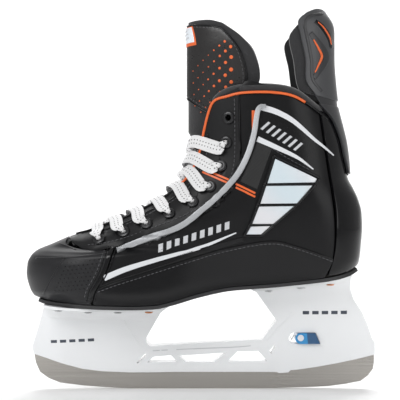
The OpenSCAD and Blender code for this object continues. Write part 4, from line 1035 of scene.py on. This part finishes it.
# Over the boot at a share t between two points: up until it leaves the boot, found by halving, then out
def bridge(a, b, up, t, height):
    p = mix(a, b, t)
    low, high = 0.0, 50.0
    for _ in range(13):
        middle = (low + high) / 2
        if inBoot(p + middle * up):
            low = middle
        else:
            high = middle
    q = p + low * up
    side = lateral if q[1] < centreLine(q[0]) else medial
    return q + height * skinNormal(wrapOf(q[0], q[2]), side, q[2])


def stop(point, wide, thick, i):
    return (*point, wide, thick, *facingTangent(i))


def runDirection(i, side, toward):
    n, c = eyeletAxis(i, side), toward - eyeletPoint(i, side)
    return unitOf(c - (c @ n) * n)


def leaving(i, side, toward):
    e, n, r = eyeletPoint(i, side), eyeletAxis(i, side), runDirection(i, side, toward)
    w, t, low = lacing["holeWide"], lacing["holeThick"], lacing["facing"]
    return [stop(e + low / 2 * n, w, t, i), stop(e + (low - 0.4) * n, w, t, i),
            stop(e + 0.5 * r + (low - 1.4) * n, w, t, i),
            stop(e + 2.2 * r + (low - 2) * n, w + 0.5, t - 0.2, i)]


def entering(i, side, origin):
    e, n, r = eyeletPoint(i, side), eyeletAxis(i, side), runDirection(i, side, origin)
    w, t, over = lacing["holeWide"], lacing["holeThick"], lacing["flangeTop"] + 1.15
    return [stop(e + 8 * r + 2.5 * n, lacing["wide"], lacing["thick"], i),
            stop(e + 4.4 * r + over * n, lacing["wide"] * 0.7, 1.5, i),
            stop(e + 2 * r + (over + 0.3) * n, w + 1.0, t, i), stop(e + 0.5 * r + (over - 0.9) * n, w, t, i),
            stop(e + 0.1 * n, w, t, i)]


underHeight = lacing["facing"] - 1.3
overProfile = [[0.15, underHeight, 7], [0.23, underHeight, 6.5], [0.3, underHeight, 5.5], [0.36, -3.2, 6.5],
    [0.43, -1.0, 8.5], [0.5, -0.4, 10], [0.6, 1.0, 11], [0.7, 2.2, 11], [0.8, 2.0, 11]]
underProfile = [[0.15, underHeight, 7], [0.24, underHeight, 6.5], [0.31, underHeight, 6], [0.39, -7, 6.5],
    [0.5, -5.4, 9], [0.59, -4.0, 8.5], [0.64, -2.4, 8.5], [0.7, 2.2, 10], [0.8, 2.0, 11]]
barProfile = [[0.82, 2.0, 10], [0.7, 1.8, 11], [0.6, 1.2, 11], [0.5, 0.9, 11], [0.4, 1.2, 11], [0.3, 1.8, 11],
    [0.18, 2.0, 10]]


def crossing(i, side, profile):
    a, b = eyeletPoint(i, side), eyeletPoint(i + 1, -side)
    tangent = unitOf(eyeletPlaces[i + 1] - eyeletPlaces[i])
    up = np.array([-tangent[1], 0.0, tangent[0]])
    outer, inner = (a, b) if side == lateral else (b, a)
    middle = []
    for share, height, wide in profile:
        t = share if side == lateral else 1 - share
        middle.append(stop(bridge(outer, inner, up, t, height), wide, lacing["thick"], i + 0.5))
    return leaving(i, side, b) + middle + entering(i + 1, -side, a)


def chain(side, profile):
    found = []
    for i in range(lacing["laced"] - 1):
        found += crossing(i, side if i % 2 == 0 else -side, profile)
    return found


def tail(side):
    last = lacing["laced"] - 1
    s = -side if lacing["laced"] % 2 == 0 else side
    e, n = eyeletPoint(last, s), eyeletAxis(last, s)
    w, t, low = lacing["holeWide"], lacing["holeThick"], lacing["facing"]
    return [stop(e + low / 2 * n, w, t, last), stop(e + (low - 1) * n, w, t, last)]


def lowestBar():
    a, b = eyeletPoint(0, lateral), eyeletPoint(0, medial)
    tangent = unitOf(eyeletPlaces[1] - eyeletPlaces[0])
    up = np.array([-tangent[1], 0.0, tangent[0]])
    middle = [stop(bridge(a, b, up, s[0], s[1]), s[2], lacing["thick"], 0) for s in reversed(barProfile)]
    return entering(0, lateral, b)[::-1] + middle + entering(0, medial, a)


# Rounds off a sine or cosine less than a circle does, which flattens the lace's section
def blunted(value, power):
    return math.copysign(abs(value) ** power, value)


def makeLace():
    path = np.array((chain(lateral, overProfile) + tail(lateral))[::-1] + lowestBar()
                    + chain(medial, underProfile) + tail(medial))
    fine = alongLine(path, np.linspace(0, 1, 4 * (len(path) - 1) + 1))
    centre, wide, thick = fine[:, :3], fine[:, 3], fine[:, 4]
    tangent = unitOf(np.gradient(centre, axis=0))
    across = unitOf(fine[:, 5:8] - (fine[:, 5:8] * tangent).sum(1, keepdims=True) * tangent)
    outward = np.cross(across, tangent)
    run = runLength(centre)
    angle = np.linspace(0, 2 * math.pi, 17)[:-1]
    bm = bmesh.new()
    layer = bm.loops.layers.uv.new("UVMap")
    rings, flats = [], []
    for k in range(len(centre)):
        flats.append([blunted(math.cos(q), 0.6) * wide[k] / 2 for q in angle])
        lifts = [blunted(math.sin(q), 0.8) * thick[k] / 2 for q in angle]
        rings.append([bm.verts.new(Vector(centre[k] + flat * across[k] + lift * outward[k]) * mm)
                      for flat, lift in zip(flats[k], lifts)])
    for k in range(len(rings) - 1):
        for m in range(len(angle)):
            n = (m + 1) % len(angle)
            corners = ((k, m), (k + 1, m), (k + 1, n), (k, n))
            face = bm.faces.new([rings[r][q] for r, q in corners])
            for loop, (r, q) in zip(face.loops, corners):
                loop[layer].uv = (run[r], flats[r][q])
    bm.faces.new(rings[0])
    bm.faces.new(rings[-1][::-1])
    closedPiece("laceRibbon", bm, "lace", "boot", ("lace",))


makeLace()
print("lace made")


# Tongue: one felt body that runs from under the lacing up into the flap
flapNet = [
    [[-11, 219.5], [2, 219.5], [14, 221], [24, 224]],
    [[-11, 240], [5, 240], [22, 242], [38, 245]],
    [[-11, 262], [8, 262], [30, 263], [50, 264]],
    [[-11, 284], [8, 285], [28, 286], [45.5, 286]],
    [[-11, 302], [4, 303], [20, 303], [34, 301]],
    [[-11, 316], [-3, 316.5], [8, 316], [18, 313]]]
tongueLook = {"half": 29.0, "round": 75.0, "waist": 0.9, "flare": 1.14, "shift": -1.4, "front": -11.0,
    "baseDepth": -8.6, "thick": 6.0, "faceThick": 1.3, "bendLow": 0.206, "bendHigh": 0.224}


def flapPoint(u, v):
    u, v = np.broadcast_arrays(np.asarray(u, float), np.asarray(v, float))
    p = netPoint(flapNet, np.minimum(np.abs(u), 1) ** 1.5, v)
    spread = mix(tongueLook["waist"], tongueLook["flare"], smoothStep((v - 0.25) / 0.5))
    fromFront = (p[..., 0] - tongueLook["front"]) / tongueLook["round"]
    half = tongueLook["half"] * spread * roundOff(fromFront, 1.75)
    return np.stack([p[..., 0], np.sign(u) * half + tongueLook["shift"], p[..., 1]], -1)


def formedNormal(spot, u, v):
    e = 0.01
    up = spot(u, np.minimum(v + e, 1)) - spot(u, np.maximum(v - e, 0))
    return unitOf(np.cross(up, spot(u + e, v) - spot(u - e, v)))


def onFlap(u, v, depth):
    normal = formedNormal(flapPoint, u, v)
    return flapPoint(u, v) + np.asarray(depth)[..., None] * normal, normal


tongueEdge = [mix(np.array(a), np.array(b), 0.55) for a, b in zip(facingFront[1:-1], facingRear[1:-1])]


def tongueBaseRow(v, us):
    p, q, r = (alongLine(tongueEdge, np.array(t)) for t in (v, min(v + 0.02, 1), max(v - 0.02, 0)))
    tangent = unitOf(q - r)
    up = np.array([-tangent[1], 0.0, tangent[0]])
    a, b = (onSkin(p, side, -4.0)[0] for side in (lateral, medial))
    return np.array([bridge(a, b, up, (0.97 * u + 1) / 2, tongueLook["baseDepth"]) for u in us])


def makeTongueBody():
    us = np.linspace(-1, 1, 41)
    base = np.array([tongueBaseRow(v, us) for v in np.linspace(0, 0.96, 26)])
    u, v = np.meshgrid(us, np.linspace(0.02, 1, 44))
    flap = onFlap(u, v, -0.9)[0]
    fill = np.array([mix(base[-1], flap[0], smoothStep(np.array(t))) for t in np.linspace(0, 1, 8)[1:-1]])
    points = np.concatenate([base, fill, flap])
    outward = np.broadcast_to([-1.0, 0.0, 0.4], points.shape)
    bend = ("boot", "tongue", (0.0, 0.0, tongueLook["bendLow"]), (0.0, 0.0, tongueLook["bendHigh"]))
    obj = slabPiece("tongueBody", points, outward, tongueLook["thick"], "felt", "boot",
                    ("tongue_base", "tongue_flap"), 1.8, bend)
    obj.modifiers["edge"].segments = 4


# The stiff face: as wide as the flap less a felt rim, its lower edge dipping at the sides
def faceParameters(s, t):
    widest = mix(0.875, 0.80, t**3)
    low = 0.30 - 0.235 * np.abs(s) ** 1.2
    high = 0.955 - 0.075 * s**2
    return s * widest, mix(low, high, t)


def makeTongueFace():
    s, t = gridOf(60, 50, -1.0)
    u, v = faceParameters(s, t)
    crown = 0.5 * roundOff(np.minimum(np.minimum(1 - np.abs(s), t), 1 - t) * 8, 2)
    points, normals = onFlap(u, v, 0.05 + crown)
    slabPiece("tongueFace", points, normals, tongueLook["faceThick"], "tongueSkin", "tongue",
              ("tongue_face",), 0.35)


# The face's edge as shares across and up: up one side, over the top, down the other and back
def faceRim():
    rise, over = np.linspace(0, 1, 60), np.linspace(-1, 1, 70)[1:-1]
    level, end = np.ones(len(rise)), np.ones(len(over))
    return np.concatenate([-level, over, level, -over]), np.concatenate([rise, end, rise[::-1], 0 * end])


def tongueRimPiece(name, inset, depth, radius, material, stitched=False):
    s, up = faceRim()
    s = s * (1 - inset)
    up = mix(inset, 1 - inset, up)
    points, normals = onFlap(*faceParameters(s, up), depth)
    bm = bmesh.new()
    if stitched:
        stitchMesh(bm, points, normals, 2.4, 1.1, radius)
    else:
        tubeMesh(bm, points, radius, 8, 0.9, normals)
    closedPiece(name, bm, material, "tongue")


# Blank badge at the top of the face, with an orange border along its lower and rear edges
badgeLook = {"half": 0.27, "low": 0.745, "high": 0.925, "border": 0.03, "barHalf": 0.15, "barStep": 0.045}


def makeBadge():
    u, v = gridOf(24, 16, -1.0)
    wide = badgeLook["half"] + badgeLook["border"]
    drop = badgeLook["low"] - badgeLook["border"]
    points, normals = onFlap(u * wide, mix(drop, badgeLook["high"] + 0.008, v), 1.0)
    slabPiece("badgeBorder", points, normals, 0.8, "orange", "tongue", (), 0.25)
    crown = 0.35 * roundOff(np.minimum(np.minimum(1 - np.abs(u), v), 1 - v) * 5, 2)
    points, normals = onFlap(u * badgeLook["half"], mix(badgeLook["low"], badgeLook["high"], v), 1.25 + crown)
    slabPiece("tongueBadge", points, normals, 0.8, "badge", "tongue", ("tongue_badge",), 0.2)
    bm = bmesh.new()
    line = np.linspace(-badgeLook["barHalf"], badgeLook["barHalf"], 12)
    for k in range(3):
        level = badgeLook["low"] + (k + 1) * badgeLook["barStep"]
        path, out = onFlap(line, level + 0.012 * np.abs(line) / badgeLook["barHalf"], 1.6)
        tubeMesh(bm, path, 0.7, 6, 0.5, out)
    closedPiece("badgeBars", bm, "greyPrintAndGrooveShade", "tongue")


# Orange dots in slanted rows that grow towards the lower rear corner
halftone = {"start": (24.0, 292.6), "alongRow": (-4.2, -3.5), "nextRow": (0.6, -8.6), "rows": 6, "perRow": 8,
    "small": 0.5, "large": 1.75, "foot": 219.5, "tall": 97, "across": (0.02, 0.72), "up": (0.16, 0.8)}


def makeHalftone():
    bm = bmesh.new()
    for sign in (-1, 1):
        for row in range(halftone["rows"]):
            for k in range(halftone["perRow"]):
                x, z = (start + row * down + k * along for start, down, along in
                        zip(halftone["start"], halftone["nextRow"], halftone["alongRow"]))
                v = (z - halftone["foot"]) / halftone["tall"]
                rear = netPoint(flapNet, np.array(1.0), np.array(v))[0]
                share = (x - tongueLook["front"]) / (rear - tongueLook["front"])
                insideFace = halftone["across"][0] < share < halftone["across"][1]
                if not insideFace or not halftone["up"][0] < v < halftone["up"][1]:
                    continue
                size = mix(halftone["large"], halftone["small"], min(1.0, k / 6 + 0.35 * abs(row - 3) / 3))
                centre, normal = onFlap(sign * share ** (2 / 3), v, 0.55)
                discMesh(bm, centre, normal, size, 0.16, 12)
    closedPiece("tongueDots", bm, "orange", "tongue")


makeTongueBody()
makeTongueFace()
tongueRimPiece("tongueFaceBead", 0.0, 0.15, 0.75, "gloss")
tongueRimPiece("tongueFaceStitch", 0.035, 0.6, 0.3, "thread", True)
makeBadge()
makeHalftone()
print("tongue made")


# Tendon guard: base on the heel, a neck, the plate with its ribs and the felt inside
guardNet = [
    [[float(backLine(185)), 185], [125.2, 186]],
    [[float(backLine(200)), 200], [121.5, 200]],
    [[float(backLine(216)), 216], [117.5, 216]],
    [[float(backLine(230)), 230], [110.5, 231]],
    [[float(backLine(242)), 242], [99, 243]]]
guardBack = curveOf([[247, 119.5], [262, 118], [280, 116.6], [298, 116.4], [312, 115.8], [326, 111]])
plateNet = [
    [[119.5, 248.5], [114, 248.5], [106, 249.5], [98, 251]],
    [[118, 262], [112, 262], [101, 262.5], [89.4, 263]],
    [[116.6, 280], [110, 280], [99, 280.5], [88.8, 281]],
    [[116.4, 298], [109, 299], [97, 300], [84.8, 300.5]],
    [[115.6, 313], [108, 314], [96, 314.5], [82.6, 313.5]],
    [[109, 324], [104, 325.5], [98, 325], [90, 321.5]]]
feltNet = [
    [[119.5, 250], [112, 250], [98, 252], [84, 254.5]],
    [[118, 262], [110, 262], [96, 263], [81, 264]],
    [[116.6, 280], [107, 280], [93, 280], [78.8, 280]],
    [[116.4, 296], [107, 297], [90, 298], [75, 299]],
    [[115.6, 310], [107, 311], [93, 311], [80, 308]],
    [[112, 319], [105, 320], [97, 319], [88, 316]]]
guardLook = {"half": 32.0, "round": 38.0, "plate": 2.6, "felt": 4.2, "gap": 0.3, "neckLow": 0.9,
    "neckHigh": 0.06, "neckLift": 1.4}


def guardSpot(net):
    def spot(u, v):
        u, v = np.broadcast_arrays(np.asarray(u, float), np.asarray(v, float))
        p = netPoint(net, np.minimum(np.abs(u), 1) ** 1.5, v)
        depth = netPoint(net, np.zeros(u.shape), v)[..., 0] - p[..., 0]
        return np.stack([p[..., 0], -np.sign(u) * guardLook["half"] * roundOff(depth / guardLook["round"], 2),
                         p[..., 1]], -1)
    return spot


def guardStrip(name, rows, side, depth, thickness, material, edge=0.2):
    def spot(x, z):
        half = guardLook["half"] * roundOff((guardBack(z) - x) / guardLook["round"], 2)
        return np.stack([x, side * half, z], -1)
    _, places, uv = ribbonPlaces(rows, 1.2, 3)
    points, normals = onForm(spot, places, side, depth, 0.3)
    return slabPiece(name, points, normals, thickness, material, "guard", (), edge, uv=uv)


def makeGuard():
    plate, pad = guardSpot(plateNet), guardSpot(feltNet)
    u, v = gridOf(80, 60, -1.0)
    normal = formedNormal(plate, u, v)
    slabPiece("guardPlate", plate(u, v), normal, guardLook["plate"], "greyPlate", "guard",
              ("tendon_guard",), 0.7)
    u, v = gridOf(60, 50, -1.0)
    normal = formedNormal(pad, u, v)
    points = pad(u, v) - (guardLook["plate"] + guardLook["gap"]) * normal
    obj = slabPiece("guardFelt", points, normal, guardLook["felt"], "felt", "guard",
                    ("guard_felt",), 1.4)
    obj.modifiers["edge"].segments = 4
    wrapLayer("guardBase", guardNet, 2.9, 2.4, 50, 40, True, "greyEdge", ("guard_base",), 0.7)
    # neck from near the base's top edge to near the plate's lower edge
    u = np.linspace(-1, 1, 61)
    side = np.where(u > 0, medial, lateral)
    row = netPoint(guardNet, np.abs(u), np.full(u.shape, guardLook["neckLow"]))
    a = np.where(np.abs(u) < 1e-6, 1.0, wrapOf(row[:, 0], row[:, 1]))
    low = skin(a, side, row[:, 1]) + guardLook["neckLift"] * skinNormal(a, side, row[:, 1])
    rise = np.full(u.shape, guardLook["neckHigh"])
    high = plate(-u, rise) - formedNormal(plate, -u, rise)
    points = np.array([mix(low, high, t) for t in np.linspace(0, 1, 12)])
    outward = np.broadcast_to([1.0, 0.0, 0.0], points.shape)
    bend = ("boot", "guard", (0.118, 0.0, 0.242), (0.118, 0.0, 0.252))
    slabPiece("guardNeck", points, outward, 1.6, "greyEdge", "boot", (), 0.4, bend)


guardRib = [[103, 254.2, 2.4], [94.6, 265, 2.6], [93.6, 281, 2.6], [89.8, 300, 2.6], [87.8, 311, 2.4],
    [93.4, 318.2, 2.2], [104, 320.6, 2.2]]
guardSlot = [[97, 313.6, 3.8], [104, 308.6, 5.0], [110.2, 300.8, 5.2], [112.2, 292.4, 3.2]]
guardSlotInner = [[99.4, 313.0, 0.8], [104.6, 308.8, 1.4], [110.2, 301.4, 1.6], [112, 295.4, 0.8]]
chevronOuter = [[92.6, 303.4, 4.4], [99.4, 296, 5.0], [106.6, 287.6, 5.6], [107.2, 282.4, 5.6],
    [101.6, 273.4, 5.0], [95.6, 265.4, 4.2]]
chevronInner = [[95.4, 297.8, 1.0], [99.4, 291.4, 1.6], [102.4, 286, 1.8], [102.4, 282.6, 1.8],
    [99.6, 276.4, 1.4], [96.6, 270.2, 0.8]]
makeGuard()
for label, side in sides:
    guardStrip("guardRib" + label, guardRib, side, 0.5, 0.9, "greyEdge", edge=0.35)
    guardStrip("guardSlot" + label, guardSlot, side, 0.25, 0.5, "gloss")
    guardStrip("guardSlotInner" + label, guardSlotInner, side, 0.4, 0.5, "orange")
    guardStrip("guardChevron" + label, chevronOuter, side, 0.45, 0.8, "greyEdge", edge=0.35)
    obj = guardStrip("guardInsert" + label, chevronInner, side, 0.75, 0.8, "orange")
    if side == lateral:
        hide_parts("guard_insert")
print("tendon guard made")


# Holder, runner, slider and rivets
softCopy("holderMoulding", "holder", "white", 32, 0.45)
for node, material in (("runner", "steel"), ("release_slider", "slider"), ("slider_marks", "whiteTrim"),
                       ("return_spring", "spring"), ("catch_spring", "spring"), ("rivets_steel", "rivet"),
                       ("rivets_copper", "copper")):
    showNode(node, material)
widthShare = curveOf([[0, 1], [2.4, 0.98], [2.9, 0.7], [7.4, 0.5], [22, 0.36], [40, 0.27], [80, 0.2]])
frontHalf = curveOf([[-137, 19], [-130, 30.4], [-118, 37.24], [-95, 38], [-60, 36.86], [-40, 34.2],
    [-24, 26.6]])
rearHalf = curveOf([[38, 20.46], [50, 27.28], [75, 31], [100, 31], [118, 27.9], [131, 20.46]])


beam = {"half": 6, "flare": 1.5, "flareFrom": 22, "flareOver": 40}


def holderLine(name, rows, side, material, depth, thickness):
    def spot(x, z):
        wide = np.where(x < 0, frontHalf(x), rearHalf(x)) * widthShare(soleLine(x) - z)
        narrow = beam["half"] + clampUnit((z - beam["flareFrom"]) / beam["flareOver"]) * beam["flare"]
        return np.stack([x, side * np.maximum(narrow, wide), z], -1)
    _, places, uv = ribbonPlaces(rows, 1.2, 3)
    points, normals = onForm(spot, places, side, depth, 0.4)
    slabPiece(name, points, normals, thickness, material, "boot", (), 0.15, uv=uv)


towerRidges = {
    "Rear": [[79.8, 66, 1.0], [68, 54, 1.0], [57.5, 42.4, 1.0]],
    "Front": [[-66, 62, 1.0], [-58, 49, 1.0], [-50.4, 37, 1.0]],
}
# The groove along the bridge is a flat grey line: painted shade in the groove
bridgeGrooveShade = [[-46, 33.4, 1.1], [-10, 34.8, 1.1], [30, 36.4, 1.1], [50, 38.2, 1.1]]
towerBars = {
    "Front": [[[-128 + 8 * k, 41.5 + 0.4 * k, 2.6], [-122.6 + 8 * k, 41.8 + 0.4 * k, 2.6]] for k in range(5)],
    "Rear": [[[88 + 8.2 * k, 66.4, 3.0], [93.6 + 8.2 * k, 66.4, 3.0]] for k in range(5)],
}
for label, side in sides:
    for place, bars in towerBars.items():
        for k, rows in enumerate(bars):
            holderLine("towerBar" + place + str(k) + label, rows, side, "bars", 0.12, 0.4)
    for place, rows in towerRidges.items():
        holderLine("towerRidge" + place + label, rows, side, "white", 0.35, 0.8)
    holderLine("bridgeGrooveShade" + label, bridgeGrooveShade, side, "greyPrintAndGrooveShade", 0.02, 0.3)
print("holder and runner made")


# Floor, backdrop and soft studio light, in metres
studio = {"paper": (0.92, 0.92, 0.92), "paperHalf": 3.6, "world": 0.5}
paperLine = [(-3.0, 0.0), (1.7, 0.0), (2.0, 0.03), (2.25, 0.11), (2.45, 0.26), (2.56, 0.46), (2.6, 0.75),
    (2.6, 3.4)]
studioLights = {  # place, target, energy and size of each
    "keyLight": ((-0.55, -0.75, 0.75), (0, 0, 0.15), 5.6, (0.5, 0.5)),
    "fillLight": ((0.8, -0.8, 0.35), (0, 0, 0.15), 1.9, (0.6, 0.5)),
    "wallLight": ((0, 1.5, 2.2), (0, 2.5, 0.6), 45.0, (2.4, 0.5)),
    "rimLight": ((0.1, 0.45, 0.8), (0, 0, 0.2), 4.6, (0.8, 0.3)),
}


def makeBackdrop():
    bm = bmesh.new()
    half = studio["paperHalf"]
    rows = [[bm.verts.new((x, y, z)) for y, z in paperLine] for x in (-half, half)]
    for k in range(len(paperLine) - 1):
        bm.faces.new((rows[0][k], rows[1][k], rows[1][k + 1], rows[0][k + 1]))
    for face in bm.faces:
        face.smooth = True
    mesh = bpy.data.meshes.new("backdrop")
    bm.to_mesh(mesh)
    bm.free()
    obj = bpy.data.objects.new("backdrop", mesh)
    bpy.context.scene.collection.objects.link(obj)
    material, _, _, shader = newMaterial("backdropPaper")
    shader.inputs["Base Color"].default_value = (*studio["paper"], 1.0)
    shader.inputs["Roughness"].default_value = 0.9
    mesh.materials.append(material)


def areaLight(name, place, target, energy, size):
    data = bpy.data.lights.new(name, "AREA")
    data.energy = energy
    data.shape = "RECTANGLE"
    data.size, data.size_y = size
    obj = bpy.data.objects.new(name, data)
    obj.location = place
    obj.rotation_euler = (Vector(target) - Vector(place)).to_track_quat("-Z", "Y").to_euler()
    bpy.context.scene.collection.objects.link(obj)


def makeStudio():
    makeBackdrop()
    world = bpy.data.worlds.new("studioWorld")
    world.use_nodes = True
    background = world.node_tree.nodes["Background"]
    background.inputs["Color"].default_value = (1, 1, 1, 1)
    background.inputs["Strength"].default_value = studio["world"]
    bpy.context.scene.world = world
    bpy.context.scene.view_settings.view_transform = "Standard"
    for name, settings in studioLights.items():
        areaLight(name, *settings)


makeStudio()
print("studio made")
